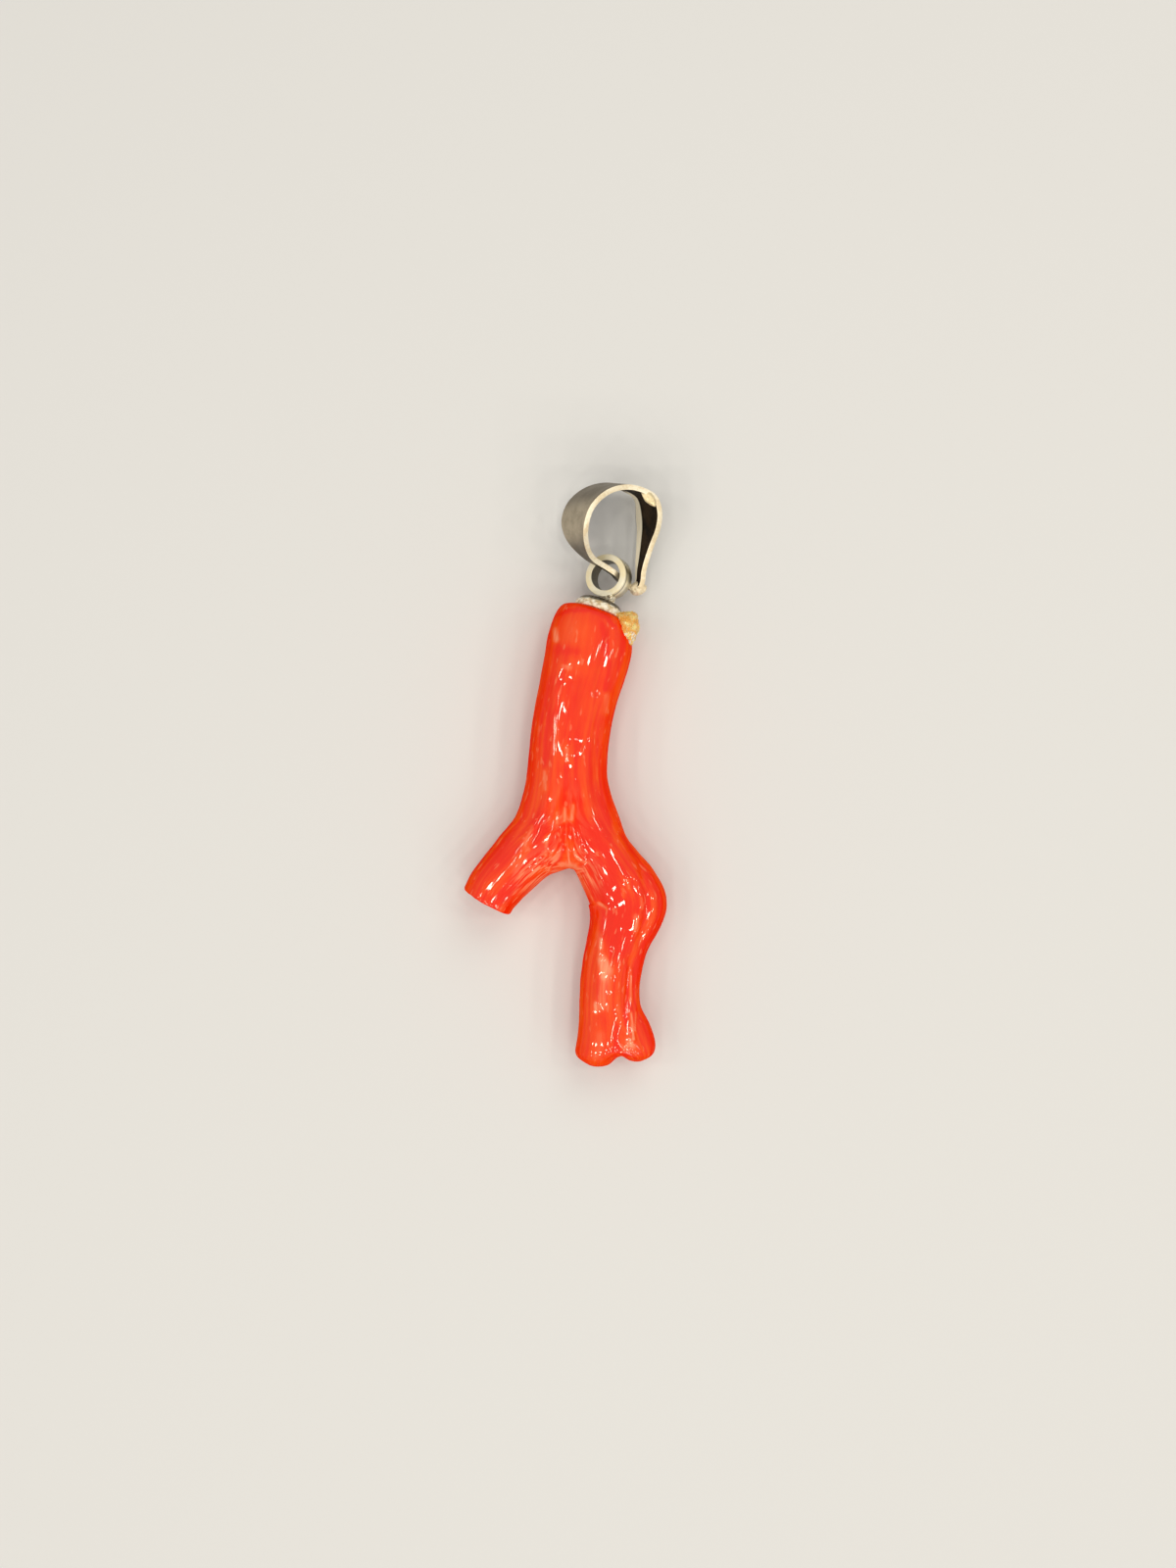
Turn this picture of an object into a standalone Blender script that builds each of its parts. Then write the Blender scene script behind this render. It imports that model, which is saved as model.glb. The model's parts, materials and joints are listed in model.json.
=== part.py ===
"""A red coral branch worn as a pendant: a polished forked stem lying on a table, its silver cap and
eyelet, the dab of glue that holds the cap, and the folded silver bail that swings in the eyelet.

Seen from above, +Y runs up the branch towards the bail, +X to the right and +Z towards the eye.
The branch rests on the table at z = 0 on small flats under its trunk, side branch and lower branch.
"""

import math

import bmesh
import bpy
import numpy as np
from mathutils import Vector

MM = 0.001

# Clearances between pieces that touch in the real thing
STONE_GAP = 0.25 * MM
METAL_GAP = 0.12 * MM

# The coral: stations down each limb as (x, y, z, half width, half depth), in millimetres
TRUNK = (
    (2.40, 13.78, 3.08, 3.32, 2.90),
    (2.18, 12.10, 3.16, 3.84, 3.14),
    (1.68, 9.57, 3.20, 3.73, 3.26),
    (1.13, 7.60, 3.24, 3.56, 3.24),
    (0.60, 5.22, 3.26, 3.50, 3.16),
    (0.21, 2.61, 3.26, 3.50, 3.10),
    (0.04, 0.00, 3.22, 3.53, 3.04),
    (0.04, -1.74, 3.16, 3.83, 2.98),
    (0.07, -3.74, 3.10, 4.59, 2.90),
)
SIDE_BRANCH = (
    (-3.80, -7.20, 2.50, 2.76, 2.64),
    (-5.15, -8.68, 2.78, 2.58, 2.40),
    (-6.58, -10.28, 3.02, 2.48, 2.26),
)
SIDE_END = (-7.02, -11.22, 3.06, 2.36, 2.16)  # the side branch's cut end
LOWER_BRANCH = (
    (3.01, -7.06, 2.90, 2.70, 2.82),
    (4.61, -9.62, 2.82, 3.16, 2.88),
    (5.58, -11.02, 2.76, 3.80, 2.82),
    (5.26, -12.87, 2.82, 3.26, 2.62),
    (4.60, -14.65, 2.86, 2.72, 2.46),
    (4.26, -16.10, 2.90, 2.70, 2.34),
    (3.96, -17.57, 2.94, 2.70, 2.26),
    (3.82, -19.00, 2.98, 2.64, 2.20),
    (3.82, -20.43, 3.02, 2.66, 2.18),
    (3.94, -21.91, 3.06, 2.94, 2.20),
    (4.25, -23.10, 3.08, 3.48, 2.16),
    (4.36, -24.20, 3.10, 3.70, 2.06),
)
CROTCH = (0.17, -8.40, 3.00)  # lowest point of the web between the two branches
CLEFT = (4.70, -25.10, 3.10)  # lowest point of the notch between the two tips
LEFT_TIP = ((2.70, -25.18, 3.12, 1.74, 1.60), (2.88, -25.76, 3.16, 1.00, 0.95))
RIGHT_TIP = ((6.32, -24.96, 3.16, 1.44, 1.52), (6.14, -25.32, 3.18, 0.80, 0.86))

RING_SIDES = 18  # corners of the trunk's rings, before they are smoothed
WEB_SIDES = 8  # sides of the web that parts the two branches
CLEFT_SIDES = 6  # sides of the notch that parts the two tips
RING_STEP = 1.15 * MM  # distance between rings
LEAD_IN = 3  # steps in which a fork's ring eases into its limb's oval
SMOOTH_SWELL = 1.016  # makes up for what smoothing takes off a ring
SHARP_ANGLE = math.radians(40)  # edges that turn more than this stay crisp
MERGE_DISTANCE = 0.002 * MM
SHORTEST_EDGE = 0.01 * MM

# Cut ends: the outward direction of each face, the rim's radius and how far the face crowns
TOP_FACE = (0.32, 0.93, -0.16)
SIDE_FACE = (-0.496, -0.868, -0.08)
TOP_RIM = 1.30 * MM
TOP_CROWN = 0.60 * MM
SIDE_RIM = 0.22 * MM
SIDE_CROWN = 0.16 * MM
SIDE_LAST_STEP = 0.42 * MM  # the last ring before the side branch's face
FACE_BLEND = 2.6 * MM  # length over which rings turn from square to the limb into line with the face

# Relief on the upper side: a path as (x, y) in millimetres, then the stroke's half width and height
RELIEF = (
    (((-0.1, 14.0), (0.0, 11.5), (0.3, 9.4)), 1.9, 0.10),
    (((2.9, 13.2), (2.7, 10.4), (2.4, 7.0), (2.3, 3.4)), 0.50, -0.20),
    (((0.6, 7.9), (0.5, 5.6), (0.5, 3.2)), 1.10, -0.32),
    (((-0.9, 7.4), (-0.9, 4.6), (-1.0, 1.2), (-1.9, -3.4), (-4.0, -6.4)), 0.45, 0.13),
    (((2.6, 6.6), (1.9, 2.2), (1.6, -1.4), (2.4, -4.0), (4.0, -6.4), (5.2, -9.0)), 0.50, 0.17),
    (((0.2, 0.4), (0.1, -3.2), (1.0, -6.4), (2.2, -8.6), (3.0, -12.0)), 0.50, -0.13),
    (((3.1, -2.9), (4.6, -6.0), (6.3, -9.2)), 0.45, 0.12),
    (((6.6, -7.9), (7.2, -10.4), (7.1, -12.4), (6.5, -14.8)), 0.45, -0.24),
    (((3.0, -12.3), (2.9, -16.0), (2.8, -20.0)), 0.50, 0.14),
    (((4.9, -14.0), (4.4, -17.0), (4.6, -20.4)), 0.50, 0.12),
    (((5.9, -16.5), (5.6, -18.4), (5.2, -21.0), (4.7, -23.2), (4.55, -25.2)), 0.60, -0.30),
    (((2.6, -23.7), (2.7, -24.0)), 1.25, 0.14),
)

# Planes that part the coral at its forks: a point in millimetres and the outward direction
SIDE_FORK = ((-3.74, -7.26, 2.9), (-0.70, -0.71, 0.0))
LOWER_FORK = ((3.26, -7.39, 2.9), (0.56, -0.83, 0.0))
TIP_FORK = ((4.2, -22.60, 3.0), (0.0, -1.0, 0.0))
TIP_CLEFT = ((4.72, -24.0, 3.0), (1.0, 0.06, 0.0))

# The cap on the cut top of the trunk, and its neck
CAP_CENTRE = Vector((2.84, 14.56, 2.98)) * MM  # middle of its flat underside
CAP_AXIS = Vector(TOP_FACE).normalized()
CAP_RADIUS = 2.20 * MM
CAP_RIM = 0.36 * MM
CAP_HEIGHT = 0.88 * MM
CAP_EDGE = 0.06 * MM
CAP_LEDGE = 0.08 * MM  # the rim stands this far out from the dome
DOME_STEPS = 6
DOME_FOOT = 1.3  # radius where the dome meets the neck, as a share of the neck's
DOME_SQUARENESS = 0.6  # under 1 keeps the dome's top flat far out
TURNED_SIDES = 28
NECK_RADIUS = 0.50 * MM
NECK_EDGE = 0.08 * MM
NECK_SHIFT = Vector((0.580, -0.199, 0.0)) * MM  # the neck stands right of the cap's middle

# The eyelet, a short tube whose bore leans to the left as it rises
EYELET_CENTRE = Vector((3.77, 17.60, 2.10)) * MM
EYELET_AXIS = Vector((-0.381, 0.125, 0.916)).normalized()
EYELET_OUTER = 1.93 * MM
EYELET_BORE = 1.36 * MM
EYELET_LENGTH = 1.60 * MM
EYELET_EDGE = 0.16 * MM
ROUND_DIAGONAL = 0.29  # where a rounded edge crosses its diagonal

# The bail: the route of the strip's middle line as (x, y, half width), in millimetres
BAIL_ROUTE = (
    (4.26, 17.88, 0.50),
    (3.51, 18.36, 0.52),
    (1.94, 19.28, 1.00),
    (0.97, 20.66, 2.20),
    (0.75, 21.98, 2.78),
    (1.18, 23.49, 2.85),
    (2.73, 25.00, 2.65),
    (4.58, 25.51, 2.43),
    (5.80, 25.34, 2.35),
    (7.00, 24.70, 2.30),
    (7.46, 23.20, 2.25),
    (7.44, 22.10, 1.90),
    (7.10, 20.40, 1.20),
    (6.66, 18.20, 0.66),
    (6.54, 17.15, 0.58),
)
BAIL_WIDTH_AXIS = Vector((0.36, -0.16, 0.919)).normalized()  # across the strip, towards the eye
BAIL_LIFT = 2.60 * MM  # height of the route's plane above the table, under the eyelet's centre
BAIL_SHEET = 0.46 * MM
BAIL_EDGE = 0.07 * MM
# The two ends meet under the eyelet's right wall: (x, y, z, half width), in millimetres
BAIL_TIP = ((4.58, 17.58, 1.88, 0.48), (5.02, 17.24, 1.26, 0.46))
BAIL_FOOT = ((6.32, 16.72, 1.30, 0.56), (5.84, 16.68, 1.16, 0.52), (5.38, 16.98, 1.12, 0.48))
BAIL_STEP = 0.60 * MM
BAIL_CORNER = math.radians(50)  # corners sharper than this are eased

# The glue squeezed out at the corner of the cap
GLUE_CENTRE = Vector((5.42, 12.92, 3.85)) * MM
GLUE_RADII = Vector((1.03, 1.62, 1.40)) * MM
GLUE_LUMPS = (0.07, 0.05)  # height of its broad and fine lumps, as a share of its radius
GLUE_SEAT_DEPTH = 0.10 * MM  # how far the cap's seat reaches below the cap


def clear_scene():
    for obj in list(bpy.data.objects):
        bpy.data.objects.remove(obj, do_unlink=True)


def make_material(name, colour, roughness, metallic=0.0):
    material = bpy.data.materials.new(name)
    material.use_nodes = True
    shader = material.node_tree.nodes["Principled BSDF"]
    shader.inputs["Base Color"].default_value = (*colour, 1.0)
    shader.inputs["Roughness"].default_value = roughness
    shader.inputs["Metallic"].default_value = metallic
    material.diffuse_color = (*colour, 1.0)
    return material


def add_object(name, bm, material, parent=None):
    """Turn a bmesh into a named object that is shaded smooth up to its sharp edges."""
    bmesh.ops.recalc_face_normals(bm, faces=bm.faces[:])
    mesh = bpy.data.meshes.new(name)
    bm.to_mesh(mesh)
    bm.free()
    mesh.materials.append(material)
    mesh.shade_smooth()
    mesh.set_sharp_from_angle(angle=SHARP_ANGLE)
    obj = bpy.data.objects.new(name, mesh)
    bpy.context.scene.collection.objects.link(obj)
    if parent is not None:
        obj.parent = parent
        obj.matrix_parent_inverse = parent.matrix_world.inverted()
    return obj


def evaluated_bmesh(obj):
    """The object's shape with its modifiers, as a new bmesh."""
    depsgraph = bpy.context.evaluated_depsgraph_get()
    bm = bmesh.new()
    bm.from_object(obj, depsgraph)
    return bm


def smooth_curve(stations, step):
    """Rows read at even steps from a smooth curve through the stations, with the direction at each."""
    rows = np.array(stations, dtype=float) * MM
    spans = np.linalg.norm(np.diff(rows[:, :3], axis=0), axis=1)
    knots = np.concatenate(([0.0], np.cumsum(spans)))
    slopes = np.gradient(rows, knots, axis=0)
    count = max(2, round(knots[-1] / step) + 1)
    places, directions = [], []
    for distance in np.linspace(0.0, knots[-1], count):
        i = min(np.searchsorted(knots, distance, side="right") - 1, len(spans) - 1)
        length = spans[i]
        t = (distance - knots[i]) / length
        places.append(
            (2 * t**3 - 3 * t**2 + 1) * rows[i]
            + (t**3 - 2 * t**2 + t) * length * slopes[i]
            + (3 * t**2 - 2 * t**3) * rows[i + 1]
            + (t**3 - t**2) * length * slopes[i + 1]
        )
        rate = (
            (6 * t**2 - 6 * t) * (rows[i] - rows[i + 1]) / length
            + (3 * t**2 - 4 * t + 1) * slopes[i]
            + (3 * t**2 - 2 * t) * slopes[i + 1]
        )
        directions.append(Vector(rate[:3]).normalized())
    return places, directions


def ring_places(row, direction, turns):
    """Points of a limb's oval ring, square to the direction; turn 0 is underneath, a quarter is +side."""
    side = Vector((-direction.y, direction.x, 0.0)).normalized()
    under = side.cross(direction).normalized()
    if under.z > 0:
        under = -under
    centre = Vector(row[:3])
    places = []
    for turn in turns:
        angle = 2 * math.pi * turn
        across = side * (row[3] * SMOOTH_SWELL * math.sin(angle))
        places.append(centre + across + under * (row[4] * SMOOTH_SWELL * math.cos(angle)))
    return places


def grow(bm, ring, places):
    """Extrude a closed ring of vertices and set the new ring at the given places."""
    edges = [bm.edges.get(pair) for pair in zip(ring, ring[1:] + ring[:1])]
    made = bmesh.ops.extrude_edge_only(bm, edges=edges)["geom"]
    fresh = {item for item in made if isinstance(item, bmesh.types.BMVert)}
    grown = []
    for vert in ring:
        grown.append(next(edge.other_vert(vert) for edge in vert.link_edges if edge.other_vert(vert) in fresh))
    for vert, place in zip(grown, places):
        vert.co = place
    return grown


def close_with_face(bm, ring, centre, direction, rim, crown):
    """Close a limb's end with a rounded rim and a slightly crowned face."""
    for inset, lift in ((rim * 0.45, rim * 0.5), (rim * 1.9, crown)):
        places = []
        for vert in ring:
            arm = vert.co - centre
            arm -= direction * arm.dot(direction)
            places.append(centre + arm * (1 - inset / arm.length) + direction * lift)
        ring = grow(bm, ring, places)
    bm.faces.new(ring)


def stretch(bm, first, second, sides, middle):
    """A chain of edges from the first vertex to the second that bows out to pass through a middle point."""
    root = (first.co + second.co) / 2
    reach = Vector(middle) * MM - root
    half_height = (first.co - second.co) / 2
    chain = [first]
    for i in range(1, sides):
        angle = math.pi * i / sides
        chain.append(bm.verts.new(root + half_height * math.cos(angle) + reach * math.sin(angle)))
    chain.append(second)
    for pair in zip(chain, chain[1:]):
        bm.edges.new(pair)
    return chain[1:-1]


def run_limb(bm, ring, turns, stations):
    """Grow a limb from a ring: first rings that ease into its oval shape, then rings down its stations."""
    rows, directions = smooth_curve(stations, RING_STEP)
    target = ring_places(rows[0], directions[0], turns)
    start = [vert.co.copy() for vert in ring]
    for i in range(1, LEAD_IN):
        share = i / LEAD_IN
        ring = grow(bm, ring, [a.lerp(b, share) for a, b in zip(start, target)])
    for row, direction in zip(rows, directions):
        ring = grow(bm, ring, ring_places(row, direction, turns))
    return ring


def coral_cage():
    """The whole coral as one closed cage of quads that follow its limbs."""
    bm = bmesh.new()
    half = RING_SIDES // 2
    turns = [i / RING_SIDES for i in range(RING_SIDES)]
    rows, directions = smooth_curve(TRUNK, RING_STEP)
    face = -Vector(TOP_FACE).normalized()
    ring = None
    first = None
    for row, direction in zip(rows, directions):
        covered = (Vector(row[:3]) - Vector(rows[0][:3])).length
        share = min(1.0, covered / FACE_BLEND)
        aimed = face.lerp(direction, share * share * (3 - 2 * share)).normalized()
        places = ring_places(row, aimed, turns)
        if ring is None:
            ring = [bm.verts.new(place) for place in places]
            first = list(ring)
            for pair in zip(ring, ring[1:] + ring[:1]):
                bm.edges.new(pair)
        else:
            ring = grow(bm, ring, places)
    close_with_face(bm, first, Vector(rows[0][:3]), -face, TOP_RIM, TOP_CROWN)

    # Main fork: the web's chain runs from underneath, round the crotch, to the upper side
    under, upper = ring[0], ring[half]
    web = stretch(bm, under, upper, WEB_SIDES, CROTCH)
    side_ring = ring[half:] + [under] + web
    web_turns = [0.5 * i / WEB_SIDES for i in range(1, WEB_SIDES)]
    side_turns = [0.5 + 0.5 * i / half for i in range(half + 1)] + web_turns
    side_end = run_limb(bm, side_ring, side_turns, SIDE_BRANCH)
    face = Vector(SIDE_FACE).normalized()
    *centre, half_width, half_depth = (value * MM for value in SIDE_END)
    centre = Vector(centre)
    for short in (SIDE_LAST_STEP, 0.0):
        end_row = [*(centre - face * short), half_width, half_depth]
        side_end = grow(bm, side_end, ring_places(end_row, face, side_turns))
    close_with_face(bm, side_end, centre, face, SIDE_RIM, SIDE_CROWN)

    lower_ring = ring[: half + 1] + web[::-1]
    lower_turns = [0.5 * i / half for i in range(half + 1)] + [1 - turn for turn in web_turns[::-1]]
    lower_end = run_limb(bm, lower_ring, lower_turns, LOWER_BRANCH)

    # Second fork, into the two short tips
    under, upper = lower_end[0], lower_end[half]
    notch = stretch(bm, under, upper, CLEFT_SIDES, CLEFT)
    notch_turns = [0.5 * i / CLEFT_SIDES for i in range(1, CLEFT_SIDES)]
    right_ring = lower_end[: half + 1] + notch[::-1]
    right_turns = [0.5 * i / half for i in range(half + 1)] + [1 - turn for turn in notch_turns[::-1]]
    left_ring = lower_end[half:] + [under] + notch
    sides_left = len(lower_end) - half
    left_turns = [0.5 + 0.5 * i / sides_left for i in range(sides_left + 1)] + notch_turns
    down = Vector((0.0, -1.0, 0.0))
    for tip_ring, tip_turns, tip in ((left_ring, left_turns, LEFT_TIP), (right_ring, right_turns, RIGHT_TIP)):
        for station in tip:
            tip_ring = grow(bm, tip_ring, ring_places([v * MM for v in station], down, tip_turns))
        bm.faces.new(tip_ring)
    bmesh.ops.recalc_face_normals(bm, faces=bm.faces[:])
    return bm


def smoothed(bm, name):
    """The bmesh after one level of surface subdivision."""
    mesh = bpy.data.meshes.new(name)
    bm.to_mesh(mesh)
    bm.free()
    cage = bpy.data.objects.new(name, mesh)
    bpy.context.scene.collection.objects.link(cage)
    modifier = cage.modifiers.new("smooth", "SUBSURF")
    modifier.levels = 1
    modifier.render_levels = 1
    result = evaluated_bmesh(cage)
    bpy.data.objects.remove(cage, do_unlink=True)
    bpy.data.meshes.remove(mesh)
    return result


def stroke_height(point, path, half_width, height):
    """What one relief stroke adds at a point, fading to both sides and past both ends."""
    nearest = math.inf
    for (ax, ay), (bx, by) in zip(path, path[1:]):
        run_x, run_y = bx - ax, by - ay
        share = ((point.x / MM - ax) * run_x + (point.y / MM - ay) * run_y) / (run_x**2 + run_y**2)
        share = min(1.0, max(0.0, share))
        nearest = min(nearest, math.hypot(point.x / MM - ax - share * run_x, point.y / MM - ay - share * run_y))
    return height * math.exp(-((nearest / half_width) ** 2))


def carve_relief(bm):
    """Raise the ridges and sink the flutes that the upper side shows."""
    bm.normal_update()
    moves = []
    for vert in bm.verts:
        facing = max(0.0, vert.normal.z)
        height = sum(stroke_height(vert.co, *stroke) for stroke in RELIEF)
        moves.append(vert.normal * (height * MM * facing))
    for vert, move in zip(bm.verts, moves):
        vert.co += move


def cut_and_close(bm, point, direction):
    """Cut away what lies past a plane and close the cut with flat faces."""
    geometry = bm.verts[:] + bm.edges[:] + bm.faces[:]
    bmesh.ops.bisect_plane(bm, geom=geometry, plane_co=point, plane_no=direction, clear_outer=True)
    open_edges = [edge for edge in bm.edges if edge.is_boundary]
    bmesh.ops.holes_fill(bm, edges=open_edges, sides=0)


def coral_piece(whole, name, planes, material):
    """The part of the coral on the inner side of each plane, short of it by half the gap."""
    bm = whole.copy()
    for (point, direction), outward in planes:
        normal = Vector(direction).normalized() * outward
        cut_and_close(bm, Vector(point) * MM - normal * STONE_GAP / 2, normal)
    return add_object(name, bm, material)


def build_coral(material):
    bm = smoothed(coral_cage(), "coral_cage")
    carve_relief(bm)
    cut_and_close(bm, Vector((0.0, 0.0, 0.0)), Vector((0.0, 0.0, -1.0)))
    bmesh.ops.dissolve_degenerate(bm, dist=SHORTEST_EDGE, edges=bm.edges[:])
    keep, past = 1, -1
    coral_piece(bm, "coral_trunk", ((SIDE_FORK, keep), (LOWER_FORK, keep)), material)
    coral_piece(bm, "coral_side_branch", ((LOWER_FORK, keep), (SIDE_FORK, past)), material)
    coral_piece(bm, "coral_lower_branch", ((LOWER_FORK, past), (TIP_FORK, keep)), material)
    coral_piece(bm, "coral_left_tip", ((TIP_FORK, past), (TIP_CLEFT, keep)), material)
    coral_piece(bm, "coral_right_tip", ((TIP_FORK, past), (TIP_CLEFT, past)), material)
    return bm


def spun(profile):
    """A solid turned about +Z from a profile of (radius, height) points."""
    bm = bmesh.new()
    verts = [bm.verts.new((radius, 0.0, height)) for radius, height in profile]
    closed = profile[0][0] > 0
    pairs = list(zip(verts, verts[1:] + verts[:1] if closed else verts[1:]))
    edges = [bm.edges.new(pair) for pair in pairs]
    bmesh.ops.spin(
        bm, geom=verts + edges, cent=(0, 0, 0), axis=(0, 0, 1), angle=2 * math.pi, steps=TURNED_SIDES, use_merge=True
    )
    bmesh.ops.remove_doubles(bm, verts=bm.verts[:], dist=MERGE_DISTANCE)
    return bm


def stand_on(obj, centre, axis):
    """Place a turned piece with its +Z along an axis."""
    obj.rotation_mode = "QUATERNION"
    obj.rotation_quaternion = axis.to_track_quat("Z", "Y")
    obj.location = centre


def neck_reach():
    """How far the neck's middle line runs above the cap's underside before it meets the eyelet's tube."""
    start = CAP_CENTRE + NECK_SHIFT - EYELET_CENTRE
    start -= EYELET_AXIS * start.dot(EYELET_AXIS)
    run = CAP_AXIS - EYELET_AXIS * CAP_AXIS.dot(EYELET_AXIS)
    slope = start.dot(run)
    return (-slope - math.sqrt(slope**2 - run.dot(run) * (start.dot(start) - EYELET_OUTER**2))) / run.dot(run)


def build_cap(material):
    """A shallow dome with a thick rim, and the neck on it that carries the eyelet."""
    profile = [(0.0, 0.0), (CAP_RADIUS - CAP_EDGE, 0.0), (CAP_RADIUS, CAP_EDGE), (CAP_RADIUS, CAP_RIM)]
    neck_root = NECK_RADIUS * DOME_FOOT
    dome_reach = CAP_RADIUS - CAP_LEDGE - neck_root
    for i in range(1, DOME_STEPS + 1):
        angle = 0.5 * math.pi * i / DOME_STEPS
        radius = neck_root + dome_reach * max(0.0, math.cos(angle)) ** DOME_SQUARENESS
        profile.append((radius, CAP_RIM + (CAP_HEIGHT - CAP_RIM) * math.sin(angle)))
    reach = neck_reach() - METAL_GAP
    profile += [(NECK_RADIUS, reach - NECK_EDGE), (NECK_RADIUS - NECK_EDGE, reach), (0.0, reach)]
    bm = spun(profile)
    shift = CAP_AXIS.to_track_quat("Z", "Y").inverted() @ NECK_SHIFT
    for vert in bm.verts:
        if math.hypot(vert.co.x, vert.co.y) < neck_root + MERGE_DISTANCE and vert.co.z > CAP_RIM:
            vert.co += shift
    cap = add_object("cap", bm, material)
    stand_on(cap, CAP_CENTRE, CAP_AXIS)


def build_eyelet(material):
    """A short tube with rounded edges."""
    half, edge = EYELET_LENGTH / 2, EYELET_EDGE
    corners = (
        (EYELET_BORE, -half, 1, 1),
        (EYELET_OUTER, -half, -1, 1),
        (EYELET_OUTER, half, -1, -1),
        (EYELET_BORE, half, 1, -1),
    )
    profile = []
    for i, (radius, height, inward, upward) in enumerate(corners):
        along_face = (radius + inward * edge, height)
        diagonal = (radius + inward * edge * ROUND_DIAGONAL, height + upward * edge * ROUND_DIAGONAL)
        along_wall = (radius, height + upward * edge)
        profile += [along_wall, diagonal, along_face][:: 1 if i % 2 == 0 else -1]
    eyelet = add_object("eyelet", spun(profile), material)
    stand_on(eyelet, EYELET_CENTRE, EYELET_AXIS)


def bail_stations():
    """The strip's middle line in space: the tip's end, the loop and the foot's end."""
    loop = []
    for x, y, half_width in BAIL_ROUTE:
        from_eyelet = Vector((x * MM, y * MM, 0.0)) - EYELET_CENTRE
        drop = (from_eyelet.x * BAIL_WIDTH_AXIS.x + from_eyelet.y * BAIL_WIDTH_AXIS.y) / BAIL_WIDTH_AXIS.z
        loop.append((x, y, (BAIL_LIFT - drop) / MM, half_width))
    return list(BAIL_TIP[::-1]) + loop + list(BAIL_FOOT)


def build_bail(material, hinge):
    """One strip folded into a loop, widest at its crown, whose narrow ends link through the eyelet."""
    rows, _ = smooth_curve(bail_stations(), BAIL_STEP)
    bm = bmesh.new()
    across = (-1.0, 1.0)
    centre = Vector(rows[0][:3])
    line = [bm.verts.new(centre + BAIL_WIDTH_AXIS * rows[0][3] * share) for share in across]
    edges = [bm.edges.new(pair) for pair in zip(line, line[1:])]
    for row in rows[1:]:
        made = bmesh.ops.extrude_edge_only(bm, edges=edges)["geom"]
        fresh = {item for item in made if isinstance(item, bmesh.types.BMVert)}
        line = [next(e.other_vert(v) for e in v.link_edges if e.other_vert(v) in fresh) for v in line]
        for vert, share in zip(line, across):
            vert.co = Vector(row[:3]) + BAIL_WIDTH_AXIS * row[3] * share
        edges = [bm.edges.get(pair) for pair in zip(line, line[1:])]
    bail = add_object("bail", bm, material, hinge)
    solidify = bail.modifiers.new("sheet", "SOLIDIFY")
    solidify.thickness = BAIL_SHEET
    solidify.offset = 0.0
    solidify.use_even_offset = True
    bevel = bail.modifiers.new("edges", "BEVEL")
    bevel.width = BAIL_EDGE
    bevel.segments = 1
    bevel.limit_method = "ANGLE"
    bevel.angle_limit = BAIL_CORNER


def build_glue(material, coral):
    """A rough bead that sits on the corner of the coral beside the cap, hollowed where they touch it."""
    bm = bmesh.new()
    bmesh.ops.create_icosphere(bm, subdivisions=3, radius=1.0)
    broad, fine = GLUE_LUMPS
    for vert in bm.verts:
        x, y, z = vert.co
        swell = 1 + broad * math.sin(5 * x + 2) * math.cos(4 * y) + fine * math.sin(7 * z + 3 * y)
        vert.co = Vector((x * GLUE_RADII.x, y * GLUE_RADII.y, z * GLUE_RADII.z)) * swell + GLUE_CENTRE
    glue = add_object("glue_bead", bm, material)
    swollen = coral.copy()
    swollen.normal_update()
    for vert in swollen.verts:
        vert.co += vert.normal * STONE_GAP
    cutter = add_object("glue_seat", swollen, material)
    cutter.hide_render = True
    cutter.display_type = "WIRE"
    seat = glue.modifiers.new("seat", "BOOLEAN")
    seat.operation = "DIFFERENCE"
    seat.solver = "EXACT"
    seat.object = cutter
    profile = [
        (0.0, -GLUE_SEAT_DEPTH),
        (CAP_RADIUS + STONE_GAP, -GLUE_SEAT_DEPTH),
        (CAP_RADIUS + STONE_GAP, CAP_HEIGHT),
        (0.0, CAP_HEIGHT),
    ]
    rim = add_object("glue_cap_seat", spun(profile), material)
    stand_on(rim, CAP_CENTRE, CAP_AXIS)
    rim.hide_render = True
    rim.display_type = "WIRE"
    notch = glue.modifiers.new("cap_seat", "BOOLEAN")
    notch.operation = "DIFFERENCE"
    notch.solver = "EXACT"
    notch.object = rim


def build():
    clear_scene()
    coral_material = make_material("coral_red", (0.90, 0.095, 0.035), 0.18)
    silver = make_material("silver", (0.72, 0.68, 0.60), 0.28, 1.0)
    bail_silver = make_material("bail_silver", (0.60, 0.56, 0.48), 0.40, 1.0)
    resin = make_material("glue_resin", (0.80, 0.42, 0.12), 0.45)

    coral = build_coral(coral_material)
    build_cap(silver)
    build_eyelet(silver)
    build_glue(resin, coral)
    coral.free()

    hinge = bpy.data.objects.new("bail_hinge", None)
    bpy.context.scene.collection.objects.link(hinge)
    hinge.rotation_mode = "QUATERNION"
    hinge.rotation_quaternion = EYELET_AXIS.to_track_quat("Z", "Y")
    hinge.location = EYELET_CENTRE
    bpy.context.view_layer.update()
    build_bail(bail_silver, hinge)


build()
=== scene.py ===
"""A red coral branch worn as a pendant, lying on a pale table and seen from straight above.

+Y runs up the branch towards the bail, +X to the right and +Z towards the eye. The table is z = 0.
"""

import json
import math

import bmesh
import bpy
import numpy as np
from mathutils import Matrix, Vector, noise

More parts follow.
